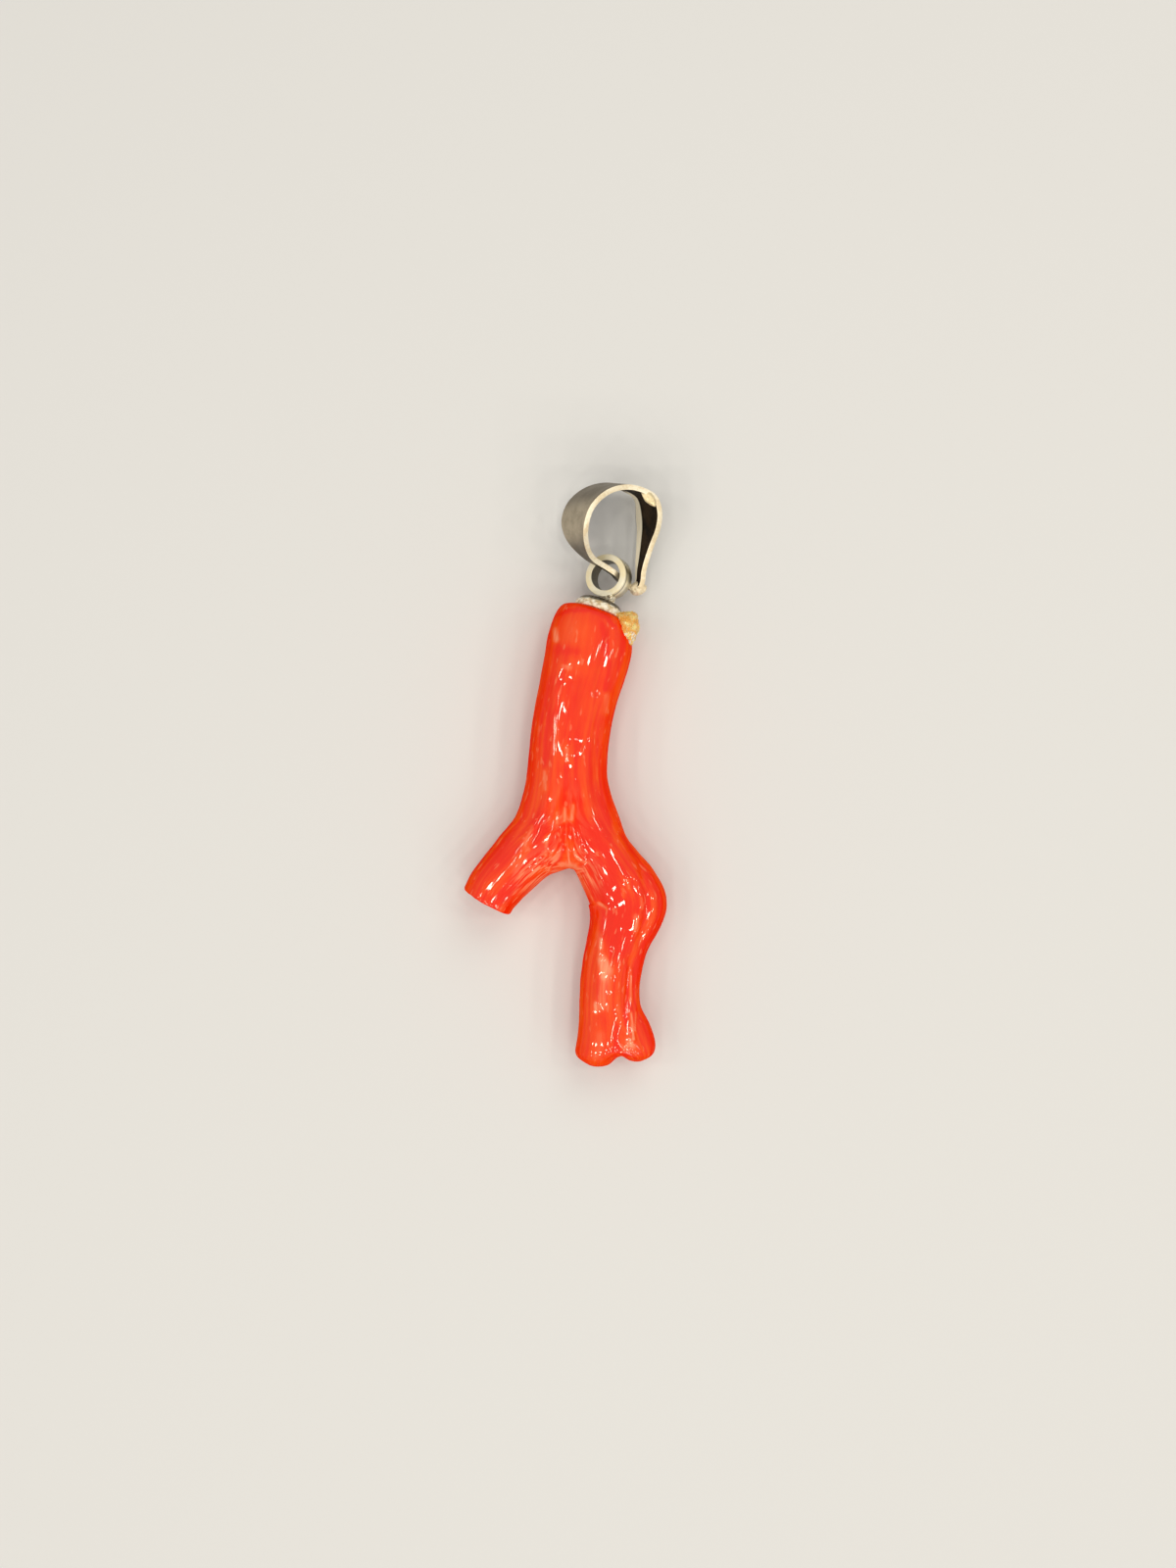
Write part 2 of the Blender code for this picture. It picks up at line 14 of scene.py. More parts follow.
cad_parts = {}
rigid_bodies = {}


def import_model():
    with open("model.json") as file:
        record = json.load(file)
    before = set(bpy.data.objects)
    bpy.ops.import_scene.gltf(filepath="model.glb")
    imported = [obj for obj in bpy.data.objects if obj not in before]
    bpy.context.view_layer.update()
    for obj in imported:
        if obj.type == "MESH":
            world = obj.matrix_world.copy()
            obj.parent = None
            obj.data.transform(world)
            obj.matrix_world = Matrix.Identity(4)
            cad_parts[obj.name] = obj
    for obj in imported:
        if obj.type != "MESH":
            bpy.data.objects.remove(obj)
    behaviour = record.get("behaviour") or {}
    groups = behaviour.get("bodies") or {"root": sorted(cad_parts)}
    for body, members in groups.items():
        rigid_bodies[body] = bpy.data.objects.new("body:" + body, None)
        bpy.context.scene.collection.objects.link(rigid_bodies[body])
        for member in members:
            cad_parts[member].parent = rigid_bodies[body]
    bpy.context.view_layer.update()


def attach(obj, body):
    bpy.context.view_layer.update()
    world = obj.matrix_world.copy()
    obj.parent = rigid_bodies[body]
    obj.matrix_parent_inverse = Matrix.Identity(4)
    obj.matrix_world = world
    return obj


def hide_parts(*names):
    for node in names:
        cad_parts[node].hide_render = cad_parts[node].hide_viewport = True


for leftover in list(bpy.data.objects):
    bpy.data.objects.remove(leftover, do_unlink=True)
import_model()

# The coral branch. One grown piece of precious coral, forked once into a short side branch and a long
# lower one, whose end parts again into two stubby tips. It was cut square at the top and at the side
# branch's end, ground smooth by hand and lacquered, except in the crotch, which stayed rough.

MM = 0.001
TRUNK = (  # stations down each limb: x, y, z, half width, half depth
    (2.40, 13.78, 3.08, 3.32, 2.90),
    (2.18, 12.10, 3.16, 3.84, 3.14),
    (1.68, 9.57, 3.20, 3.73, 3.26),
    (1.13, 7.60, 3.24, 3.56, 3.24),
    (0.60, 5.22, 3.26, 3.50, 3.16),
    (0.21, 2.61, 3.26, 3.50, 3.10),
    (0.04, 0.00, 3.22, 3.53, 3.04),
    (0.04, -1.74, 3.16, 3.83, 2.98),
    (0.07, -3.74, 3.10, 4.59, 2.90),
)
SIDE_BRANCH = (
    (-3.80, -7.20, 2.50, 2.76, 2.64),
    (-5.15, -8.68, 2.78, 2.58, 2.40),
    (-6.58, -10.28, 3.02, 2.48, 2.26),
)
SIDE_END = (-7.02, -11.22, 3.06, 2.36, 2.16)
LOWER_BRANCH = (
    (3.01, -7.06, 2.90, 2.70, 2.82),
    (4.61, -9.62, 2.82, 3.16, 2.88),
    (5.58, -11.02, 2.76, 3.80, 2.82),
    (5.26, -12.87, 2.82, 3.26, 2.62),
    (4.60, -14.65, 2.86, 2.72, 2.46),
    (4.26, -16.10, 2.90, 2.70, 2.34),
    (3.96, -17.57, 2.94, 2.70, 2.26),
    (3.82, -19.00, 2.98, 2.64, 2.20),
    (3.82, -20.43, 3.02, 2.66, 2.18),
    (3.94, -21.91, 3.06, 2.94, 2.20),
    (4.25, -23.10, 3.08, 3.48, 2.16),
    (4.36, -24.20, 3.10, 3.70, 2.06),
)
CROTCH = Vector((0.17, -8.40, 3.00))
CLEFT = Vector((4.70, -25.10, 3.10))
LEFT_TIP = ((2.70, -25.18, 3.12, 1.74, 1.60), (2.88, -25.76, 3.16, 1.00, 0.95))
RIGHT_TIP = ((6.32, -24.96, 3.16, 1.44, 1.52), (6.14, -25.32, 3.18, 0.80, 0.86))
TOP_FACE = Vector((0.32, 0.93, -0.16)).normalized()
SIDE_FACE = Vector((-0.496, -0.868, -0.08)).normalized()
RING_SIDES = 32
WEB_SIDES = 14  # edges of the chain over the crotch
CLEFT_SIDES = 10  # edges of the chain over the cleft between the tips
RING_STEP = 1.7
SMOOTH_SWELL = 1.006  # makes up for what the rounding takes off a ring
TOP_AIM = 2.6  # over this length the rings turn from the sawn top to the trunk's own heading
TOP_RIM, TOP_CROWN = 1.30, 0.60
SIDE_RIM, SIDE_CROWN = 0.22, 0.16
SAWN_EDGE = 0.42  # two rings this close keep the side branch's edge crisp

# Strokes on the upper side: a path as (x, y), then half width and height
RELIEF = (
    (((-0.1, 14.0), (0.0, 11.5), (0.3, 9.4)), 1.9, 0.10),
    (((4.0, 12.6), (3.6, 11.2), (3.1, 9.4), (2.7, 7.0), (2.4, 3.4)), 0.42, -0.18),
    (((0.6, 7.9), (0.5, 5.6), (0.5, 3.2)), 1.05, -0.34),
    (((-0.9, 7.4), (-0.9, 4.6), (-1.0, 1.2), (-1.9, -3.4), (-4.0, -6.4)), 0.45, 0.13),
    (((2.6, 6.6), (1.9, 2.2), (1.6, -1.4), (2.4, -4.0), (4.0, -6.4), (5.2, -9.0)), 0.50, 0.17),
    (((0.2, 0.4), (0.1, -3.2), (1.0, -6.4), (2.2, -8.6), (3.0, -12.0)), 0.50, -0.13),
    (((3.1, -2.9), (4.6, -6.0), (6.3, -9.2)), 0.45, 0.12),
    (((6.6, -7.9), (7.2, -10.4), (7.1, -12.4), (6.5, -14.8)), 0.42, -0.24),
    (((3.0, -12.3), (2.9, -16.0), (2.8, -20.0)), 0.50, 0.14),
    (((4.9, -14.0), (4.4, -17.0), (4.6, -20.4)), 0.50, 0.12),
    (((5.9, -16.5), (5.6, -18.4), (5.2, -21.0), (4.7, -23.2), (4.55, -25.2)), 0.60, -0.30),
    (((2.6, -23.7), (2.7, -24.0)), 1.25, 0.14),
    (((3.5, 7.3), (3.5, 5.5)), 0.42, 0.07),
    (((6.1, -12.6), (6.0, -13.7)), 0.50, 0.09),
    (((2.9, -11.4), (3.4, -11.8)), 0.22, -0.08),
    (((0.0, 2.2), (0.1, 1.3)), 0.30, -0.09),
    (((-0.9, 12.4), (-0.9, 12.0)), 0.30, -0.05),
    (((4.0, -15.5), (3.9, -19.0)), 0.18, -0.08),
    (((5.3, -17.0), (5.0, -21.0)), 0.16, 0.07),
    (((5.85, -17.2), (5.72, -20.2), (5.78, -23.4)), 0.15, 0.12),
    (((6.25, -19.0), (6.05, -21.4), (5.95, -23.2)), 0.13, 0.10),
    (((5.8, -23.3), (5.2, -24.0), (4.9, -24.6)), 0.26, 0.12),
    (((5.8, -23.3), (6.5, -24.3)), 0.28, 0.10),
    (((5.5, -24.2), (5.7, -24.7)), 0.24, -0.12),
    (((3.2, -16.4), (3.3, -17.4)), 0.30, 0.11),
    (((4.1, -16.9), (4.1, -17.7)), 0.22, 0.08),
    (((3.0, -18.5), (3.0, -19.4)), 0.18, 0.06),
    (((3.6, -19.3), (3.6, -20.0)), 0.18, 0.06),
    (((4.4, -19.6), (4.4, -20.3)), 0.18, 0.05),
    (((0.9, -0.6), (0.8, -3.4), (1.5, -6.2)), 0.16, -0.06),
    (((-0.4, -0.4), (-0.6, -3.6), (-1.4, -6.6)), 0.16, -0.06),
    (((-1.4, -2.4), (-2.6, -5.4), (-4.6, -8.2)), 0.18, -0.06),
)
# Paler (positive) and deeper (negative) marks in the colour: a path, then half width and amount.
# Most are the coral's own tone. The deeper lines along the sawn top's rim, the grooves and the cleft
# are painted shade, and the pale spot round the pit below the flute is a painted sheen.
TINTS_AND_PAINTED_LIGHT = (
    (((0.4, 13.4), (0.7, 9.6)), 1.3, 0.36),
    (((3.55, 6.9), (3.5, 5.5)), 0.42, 0.65),
    (((-1.0, 12.7), (-0.9, 11.8)), 0.34, 0.95),
    # painted shade: the darker line along the rounded rim of the sawn top, under the cap
    (((-0.9, 14.0), (0.2, 14.3), (2.0, 14.4), (3.4, 13.9), (4.3, 12.9)), 0.18, -0.80),
    (((-0.3, 9.4), (0.3, 9.3)), 0.22, 0.45),
    (((-1.9, 5.8), (-1.9, 4.4)), 0.16, 0.40),
    # painted sheen: the pale spot round the pit under a glint
    (((0.1, 2.2), (0.1, 1.2)), 0.38, 0.75),
    (((-1.9, 0.2), (-1.8, -1.3)), 0.28, 0.60),
    (((2.7, 0.6), (2.7, -0.4)), 0.16, 0.45),
    (((-0.8, -3.4), (-0.8, -4.3)), 0.17, 0.60),
    (((-0.1, -3.0), (-0.1, -4.1)), 0.19, 0.75),
    (((0.6, -2.7), (0.5, -4.0)), 0.22, 0.85),
    (((0.0, -1.5), (0.0, -1.9)), 0.13, 0.60),
    (((-2.9, -4.7), (-3.6, -6.2)), 0.32, 0.60),
    (((-1.7, -5.6), (-1.8, -7.1)), 0.26, 0.65),
    (((-0.5, -8.0), (0.7, -8.1)), 0.40, 1.10),
    (((2.8, -11.4), (3.5, -11.8)), 0.22, 1.00),
    (((5.0, -10.1), (5.0, -10.8)), 0.14, 0.75),
    (((5.4, -9.3), (5.5, -10.0)), 0.16, 0.55),
    (((6.1, -12.5), (6.0, -13.7)), 0.45, 0.45),
    (((6.6, -10.9), (6.7, -11.8)), 0.22, 0.50),
    (((3.1, -14.6), (3.1, -15.2)), 0.14, 0.65),
    (((3.3, -16.4), (3.3, -17.8)), 0.30, 0.45),
    (((2.6, -20.2), (2.6, -21.0)), 0.18, 0.55),
    (((3.0, -23.0), (2.7, -25.0)), 0.90, 0.44),
    (((5.4, -23.4), (5.9, -24.0)), 0.34, 0.60),
    (((-0.4, 10.9), (1.0, 10.7)), 0.40, -0.50),
    # painted shade: the darker line in the groove on the trunk's right
    (((3.2, 13.0), (3.8, 9.4), (3.4, 7.4)), 0.20, -0.80),
    (((0.8, 6.6), (0.4, -2.2)), 0.70, -0.28),
    (((1.6, -5.0), (3.4, -8.4), (4.4, -12.4), (4.3, -15.2)), 0.85, -0.80),
    (((-2.2, -4.6), (-3.4, -8.2), (-5.6, -10.6)), 0.50, -0.55),
    # painted shade: the darker lines in the grooves beside the knob and down the stem
    (((7.2, -9.0), (7.4, -12.4)), 0.20, -0.60),
    (((5.5, -17.0), (5.3, -22.0)), 0.20, -0.60),
    (((5.80, -17.8), (5.72, -20.0)), 0.12, 0.85),
    (((5.75, -21.0), (5.85, -23.3)), 0.12, 0.95),
    (((6.12, -21.0), (6.05, -22.6)), 0.09, 0.75),
    (((5.6, -23.7), (4.9, -24.4)), 0.20, 0.60),
    (((3.0, -14.2), (3.5, -17.6), (3.1, -20.4)), 0.75, 0.58),
    (((3.1, -16.4), (3.9, -17.2)), 0.34, 0.30),
    # painted shade: darker leading into the cleft between the tips
    (((4.4, -22.2), (4.5, -24.4)), 0.28, -0.45),
    (((4.2, -10.6), (5.2, -13.2)), 0.70, -0.35),
    (((6.0, -12.7), (6.1, -13.4)), 0.50, 0.30),
)
# Regions of the surface: a path, then half width
ROUGH_CROTCH = (((-3.4, -9.2), (-1.4, -8.0), (0.2, -7.5), (1.6, -9.2)), 1.25)
SUNKEN_LACQUER = (((0.0, -2.6), (0.0, -6.0)), 1.5)
POLISHED_TOP = (((2.2, 15.0), (1.3, 8.0)), 3.4)
POLISHED_TIP = (((2.5, -23.2), (2.8, -24.6)), 1.7)
CROTCH_WALL = (((-1.4, -10.0), (0.2, -9.2), (2.0, -10.2), (2.6, -11.6)), 2.0)
FORK_POINT = np.array((0.15, -8.40))  # the growth lines part here and run down both branches
PARTING = ((FORK_POINT + (0.0, 0.3), FORK_POINT + (0.0, 2.4)), 1.4)
PARTING_SCALE = 2.2
GROWTH_RADIUS = 3.2  # of the tube round which the growth lines are laid out
GROWTH_LINE = 0.42  # usual distance between growth lines
GROWTH_LENGTH = 5.0  # usual length over which one of them changes
GROWTH_HEIGHT = 0.024
FORK_LENGTH = 4.5  # a limb's length along the growth lines before its first station
TIP_LENGTH = 1.3  # the same for each ring of a tip
LUMP_SIZE = 1.5
LUMP_HEIGHT = 0.040  # broad unevenness left by the polishing


def follow(stations, step):
    """Rows at even steps along a smooth curve through the stations, and the heading at each."""
    rows = np.array(stations, dtype=float)
    spans = np.linalg.norm(np.diff(rows[:, :3], axis=0), axis=1)
    knots = np.concatenate(([0.0], np.cumsum(spans)))
    slopes = np.gradient(rows, knots, axis=0)
    places, headings = [], []
    for distance in np.linspace(0.0, knots[-1], max(2, round(knots[-1] / step) + 1)):
        i = min(np.searchsorted(knots, distance, side="right") - 1, len(spans) - 1)
        length = spans[i]
        t = (distance - knots[i]) / length
        places.append(
            (2 * t**3 - 3 * t**2 + 1) * rows[i]
            + (t**3 - 2 * t**2 + t) * length * slopes[i]
            + (3 * t**2 - 2 * t**3) * rows[i + 1]
            + (t**3 - t**2) * length * slopes[i + 1]
        )
        rate = (
            (6 * t**2 - 6 * t) * (rows[i] - rows[i + 1]) / length
            + (3 * t**2 - 4 * t + 1) * slopes[i]
            + (3 * t**2 - 2 * t) * slopes[i + 1]
        )
        headings.append(Vector(rate[:3]).normalized())
    return places, headings


def oval(row, heading, turns):
    """A limb's oval ring, square to its heading. Turn 0 is underneath and a half turn is on top."""
    side = Vector((-heading.y, heading.x, 0.0)).normalized()
    under = side.cross(heading).normalized()
    if under.z > 0:
        under = -under
    places = []
    for turn in turns:
        angle = 2 * math.pi * turn
        across = side * (row[3] * SMOOTH_SWELL * math.sin(angle))
        places.append(Vector(row[:3]) + across + under * (row[4] * SMOOTH_SWELL * math.cos(angle)))
    return places


def grow(bm, ring, places, strands):
    """Extrude a ring of vertices to new places, and note where each lies among the growth lines."""
    layer = bm.verts.layers.float_vector["strand"]
    edges = [bm.edges.get(pair) for pair in zip(ring, ring[1:] + ring[:1])]
    made = bmesh.ops.extrude_edge_only(bm, edges=edges)["geom"]
    fresh = {item for item in made if isinstance(item, bmesh.types.BMVert)}
    grown = [next(e.other_vert(v) for e in v.link_edges if e.other_vert(v) in fresh) for v in ring]
    for vert, place, strand in zip(grown, places, strands):
        vert.co = place
        vert[layer] = strand
    return grown


def strands_at(turns, along):
    """Growth lines as places round a tube: two numbers for the turn and one for the length along."""
    angles = [2 * math.pi * turn for turn in turns]
    return [Vector((GROWTH_RADIUS * math.cos(a), GROWTH_RADIUS * math.sin(a), along)) for a in angles]


def inward(strand, share):
    """A place among the growth lines, moved in towards the limb's middle."""
    return Vector((strand[0] * share, strand[1] * share, strand[2]))


def close_cut(bm, ring, centre, heading, rim, crown):
    """Close a sawn and polished end with a rounded rim and a slightly crowned face."""
    layer = bm.verts.layers.float_vector["strand"]
    for inset, lift in ((rim * 0.45, rim * 0.5), (rim * 1.9, crown)):
        places, strands = [], []
        for vert in ring:
            arm = vert.co - centre
            arm -= heading * arm.dot(heading)
            share = 1 - inset / arm.length
            places.append(centre + arm * share + heading * lift)
            strands.append(inward(vert[layer], share))
        ring = grow(bm, ring, places, strands)
    for share in (0.62, 0.30):
        middle = sum((vert.co for vert in ring), Vector()) / len(ring)
        places = [middle.lerp(vert.co, share) for vert in ring]
        strands = [inward(vert[layer], share) for vert in ring]
        ring = grow(bm, ring, places, strands)
    bm.faces.new(ring)


def web_between(bm, under, upper, sides, middle):
    """The edge where two limbs meet: a chain from the underside to the upper side through a point."""
    layer = bm.verts.layers.float_vector["strand"]
    root = (under.co + upper.co) / 2
    half_height = (under.co - upper.co) / 2
    chain = [under]
    for i in range(1, sides):
        angle = math.pi * i / sides
        vert = bm.verts.new(root + half_height * math.cos(angle) + (middle - root) * math.sin(angle))
        mixed = Vector(under[layer]).lerp(Vector(upper[layer]), i / sides)
        vert[layer] = Vector((mixed.x, 0.0, mixed.z + 2.0 * math.sin(angle)))
        chain.append(vert)
    chain.append(upper)
    for pair in zip(chain, chain[1:]):
        bm.edges.new(pair)
    return chain[1:-1]


def run_limb(bm, ring, turns, stations, along):
    """Grow a limb from a fork's ring: two easing rings, then rings down its stations."""
    layer = bm.verts.layers.float_vector["strand"]
    rows, headings = follow(stations, RING_STEP)
    target = oval(rows[0], headings[0], turns)
    along += FORK_LENGTH
    target_strands = strands_at(turns, along)
    start = [(vert.co.copy(), Vector(vert[layer])) for vert in ring]
    for share in (1 / 3, 2 / 3):
        places = [a.lerp(b, share) for (a, _), b in zip(start, target)]
        strands = [a.lerp(b, share) for (_, a), b in zip(start, target_strands)]
        ring = grow(bm, ring, places, strands)
    for i, (row, heading) in enumerate(zip(rows, headings)):
        ring = grow(bm, ring, oval(row, heading, turns), strands_at(turns, along + i * RING_STEP))
    return ring, along + len(rows) * RING_STEP


def coral_cage():
    """The whole coral as one closed cage of four-sided faces that follow its limbs, in millimetres."""
    bm = bmesh.new()
    bm.verts.layers.float_vector.new("strand")
    layer = bm.verts.layers.float_vector["strand"]
    half = RING_SIDES // 2
    turns = [i / RING_SIDES for i in range(RING_SIDES)]
    rows, headings = follow(TRUNK, RING_STEP)
    first = None
    for i, (row, heading) in enumerate(zip(rows, headings)):
        share = min(1.0, (Vector(row[:3]) - Vector(rows[0][:3])).length / TOP_AIM)
        aimed = (-TOP_FACE).lerp(heading, share * share * (3 - 2 * share)).normalized()
        places, strands = oval(row, aimed, turns), strands_at(turns, i * RING_STEP)
        if first is None:
            ring = [bm.verts.new(place) for place in places]
            for vert, strand in zip(ring, strands):
                vert[layer] = strand
            for pair in zip(ring, ring[1:] + ring[:1]):
                bm.edges.new(pair)
            first = list(ring)
        else:
            ring = grow(bm, ring, places, strands)
    close_cut(bm, first, Vector(rows[0][:3]), TOP_FACE, TOP_RIM, TOP_CROWN)

    along = len(rows) * RING_STEP
    under, upper = ring[0], ring[half]
    web = web_between(bm, under, upper, WEB_SIDES, CROTCH)
    web_turns = [0.5 * i / WEB_SIDES for i in range(1, WEB_SIDES)]
    side_turns = [0.5 + 0.5 * i / half for i in range(half + 1)] + web_turns
    side_ring = ring[half:] + [under] + web
    side_end, side_along = run_limb(bm, side_ring, side_turns, SIDE_BRANCH, along)
    centre = Vector(SIDE_END[:3])
    for short in (SAWN_EDGE, 0.0):
        face_ring = oval([*(centre - SIDE_FACE * short), *SIDE_END[3:]], SIDE_FACE, side_turns)
        side_end = grow(bm, side_end, face_ring, strands_at(side_turns, side_along - short))
    close_cut(bm, side_end, centre, SIDE_FACE, SIDE_RIM, SIDE_CROWN)

    lower_ring = ring[: half + 1] + web[::-1]
    lower_turns = [0.5 * i / half for i in range(half + 1)] + [1 - turn for turn in web_turns[::-1]]
    lower_end, lower_along = run_limb(bm, lower_ring, lower_turns, LOWER_BRANCH, along)

    under, upper = lower_end[0], lower_end[half]
    notch = web_between(bm, under, upper, CLEFT_SIDES, CLEFT)
    notch_turns = [0.5 * i / CLEFT_SIDES for i in range(1, CLEFT_SIDES)]
    right_ring = lower_end[: half + 1] + notch[::-1]
    right_turns = [0.5 * i / half for i in range(half + 1)] + [1 - turn for turn in notch_turns[::-1]]
    left_ring = lower_end[half:] + [under] + notch
    left = len(lower_end) - half
    left_turns = [0.5 + 0.5 * i / left for i in range(left + 1)] + notch_turns
    down = Vector((0.0, -1.0, 0.0))
    tips = ((left_ring, left_turns, LEFT_TIP), (right_ring, right_turns, RIGHT_TIP))
    for tip_ring, tip_turns, tip in tips:
        for i, station in enumerate(tip):
            strands = strands_at(tip_turns, lower_along + i * TIP_LENGTH)
            tip_ring = grow(bm, tip_ring, oval(station, down, tip_turns), strands)
        for share, bulge in ((0.6, 0.14), (0.25, 0.04)):
            middle = sum((vert.co for vert in tip_ring), Vector()) / len(tip_ring)
            places = [middle.lerp(vert.co, share) + down * bulge for vert in tip_ring]
            strands = [Vector(vert[layer]) * share for vert in tip_ring]
            tip_ring = grow(bm, tip_ring, places, strands)
        bm.faces.new(tip_ring)
    bmesh.ops.recalc_face_normals(bm, faces=bm.faces[:])
    return bm


def add_piece(name, bm, finishes):
    """A mesh object of the scene from a bmesh, shaded smooth, with its finishes."""
    mesh = bpy.data.meshes.new(name)
    bm.to_mesh(mesh)
    bm.free()
    mesh.shade_smooth()
    for finish in finishes:
        mesh.materials.append(finish)
    piece = bpy.data.objects.new(name, mesh)
    bpy.context.scene.collection.objects.link(piece)
    return piece


def settle(piece):
    """Replace a piece's mesh with the shape that its modifiers give it."""
    depsgraph = bpy.context.evaluated_depsgraph_get()
    mesh = bpy.data.meshes.new_from_object(piece.evaluated_get(depsgraph))
    piece.modifiers.clear()
    piece.data = mesh
    return mesh


def near(points, path, half_width):
    """How near each point is to a path, seen from above: 1 on it, fading past its half width."""
    nearest = np.full(len(points), 1e9)
    for start, end in zip(path, path[1:]):
        start, run = np.array(start), np.array(end) - np.array(start)
        share = np.clip((points[:, :2] - start) @ run / (run @ run), 0.0, 1.0)
        gap = points[:, :2] - start - share[:, None] * run
        nearest = np.minimum(nearest, np.hypot(gap[:, 0], gap[:, 1]))
    return np.exp(-((nearest / half_width) ** 2))


def read_vectors(items, name, count):
    values = np.empty(count * 3, dtype=np.float32)
    items.foreach_get(name, values)
    return values.reshape(-1, 3).astype(float)


def dress_coral(mesh):
    """Raise the ridges and growth lines, sink the flutes and pits, and note colour and roughness."""
    count = len(mesh.vertices)
    points = read_vectors(mesh.vertices, "co", count)
    normals = read_vectors(mesh.vertex_normals, "vector", count)
    strands = read_vectors(mesh.attributes["strand"].data, "vector", count)
    facing = np.clip(normals[:, 2], 0.0, 1.0)
    height = sum(amount * near(points, path, wide) for path, wide, amount in RELIEF) * facing
    # the colour marks hold the coral's own tone together with painted shade and a painted sheen
    tint_and_painted_light = sum(amount * near(points, path, wide) for path, wide, amount in TINTS_AND_PAINTED_LIGHT) * facing
    matt = near(points, *SUNKEN_LACQUER) * facing
    rough = np.maximum(near(points, *ROUGH_CROTCH), 0.30 * matt)
    polished = np.maximum(near(points, *POLISHED_TOP), near(points, *POLISHED_TIP))
    fork = near(points, *PARTING)
    web = near(points, *CROTCH_WALL) * (1.0 - facing)
    side, up = (points[:, :2] - FORK_POINT).T  # below, lines that part like a stream at a stone
    parts = [side * up / PARTING_SCALE, points[:, 2] * 0.3, (side**2 - up**2) / (2 * PARTING_SCALE)]
    parting = np.stack(parts, axis=1)

    lines = np.empty(count)
    lumps = np.empty(count)
    for i in range(count):
        x, y, along = strands[i]
        spread = GROWTH_LINE * (1 + 1.6 * rough[i])  # in the crotch, y runs along the fibres
        lines[i] = noise.noise(Vector((x / GROWTH_LINE, y / spread, along / GROWTH_LENGTH)))
        if fork[i] > 0.01:
            a, b, c = parting[i]
            lines[i] += fork[i] * (noise.noise(Vector((a / GROWTH_LINE, b, c / 4.0))) - lines[i])
        lumps[i] = noise.noise(Vector(points[i]) / LUMP_SIZE)
    lines *= 1 - 0.8 * web
    height += GROWTH_HEIGHT * lines * (1 - 0.7 * polished) * (1 + 0.9 * rough)
    height += LUMP_HEIGHT * lumps * (1 - 0.85 * polished)
    moved = points + normals * height[:, None]
    moved[:, 2] = np.maximum(moved[:, 2], 0.0)  # nothing reaches below the table
    mesh.vertices.foreach_set("co", (moved * MM).ravel())
    marks = {"tint_and_painted_light": tint_and_painted_light, "rough": rough, "line": lines, "polished": polished}
    marks |= {"matt": matt, "fork": fork, "web": web}
    for name, values in marks.items():
        layer = mesh.attributes.new(name, "FLOAT", "POINT")
        layer.data.foreach_set("value", values.astype(np.float32))
    layer = mesh.attributes.new("parting", "FLOAT_VECTOR", "POINT")
    layer.data.foreach_set("vector", parting.astype(np.float32).ravel())
    mesh.update()


class Reading:
    """A socket of a finish. Arithmetic on it adds the maths nodes, so a mask reads as a sum."""

    def __init__(self, finish, socket):
        self.finish = finish
        self.socket = socket

    def maths(self, operation, first, second):
        return self.finish.node("ShaderNodeMath", {"operation": operation}, {0: first, 1: second})

    def __add__(self, other):
        return self.maths("ADD", self, other)

    def __sub__(self, other):
        return self.maths("SUBTRACT", self, other)

    def __rsub__(self, other):
        return self.maths("SUBTRACT", other, self)

    def __mul__(self, other):
        return self.maths("MULTIPLY", self, other)

    __radd__ = __add__


class Finish:
    """A surface finish being mixed: its material, its shader and the nodes that feed it."""

    def __init__(self, name):
        self.material = bpy.data.materials.new(name)
        self.material.use_nodes = True
        self.tree = self.material.node_tree
        self.shader = self.tree.nodes["Principled BSDF"]

    def set(self, node, values):
        for key, value in values.items():
            if isinstance(value, Reading):
                self.tree.links.new(value.socket, node.inputs[key])
            else:
                node.inputs[key].default_value = value

    def node(self, kind, settings, values, output=0):
        node = self.tree.nodes.new(kind)
        for name, value in settings.items():
            setattr(node, name, value)
        self.set(node, values)
        return Reading(self, node.outputs[output])

    def place(self):
        """Object coordinates in millimetres."""
        spot = self.node("ShaderNodeTexCoord", {}, {}, output="Object")
        return self.node("ShaderNodeVectorMath", {"operation": "SCALE"}, {0: spot, "Scale": 1 / MM})

    def stretched(self, vector, scale):
        return self.node("ShaderNodeVectorMath", {"operation": "MULTIPLY"}, {0: vector, 1: scale})

    def mask(self, name):
        """A share that was noted on the mesh's own vertices."""
        return self.node("ShaderNodeAttribute", {"attribute_name": name}, {}, output="Fac")

    def lines(self, name):
        """A place among the growth lines that was noted on the mesh's own vertices."""
        return self.node("ShaderNodeAttribute", {"attribute_name": name}, {}, output="Vector")

    def grain(self, vector, scale, detail=2.0):
        return self.node("ShaderNodeTexNoise", {}, {"Vector": vector, "Scale": scale, "Detail": detail})

    def cells(self, vector, scale):
        return self.node("ShaderNodeTexVoronoi", {}, {"Vector": vector, "Scale": scale})

    def ease(self, value, low, high, to_low=0.0, to_high=1.0):
        sockets = {"Value": value, "From Min": low, "From Max": high, "To Min": to_low, "To Max": to_high}
        return self.node("ShaderNodeMapRange", {"interpolation_type": "SMOOTHSTEP"}, sockets)

    def blend(self, share, first, second):
        """From the first colour to the second. The node's colour sockets have only numbers."""
        first, second = ((*c, 1.0) if isinstance(c, tuple) else c for c in (first, second))
        sockets = {0: share, 6: first, 7: second}
        return self.node("ShaderNodeMix", {"data_type": "RGBA"}, sockets, output=2)

    def bump(self, height, depth):
        sockets = {"Height": height, "Distance": depth * MM, "Strength": 1.0}
        return self.node("ShaderNodeBump", {}, sockets)


DEEP_RED, ORANGE_RED = (0.90, 0.020, 0.001), (0.97, 0.080, 0.003)
LIGHT_RED = (0.99, 0.140, 0.040)
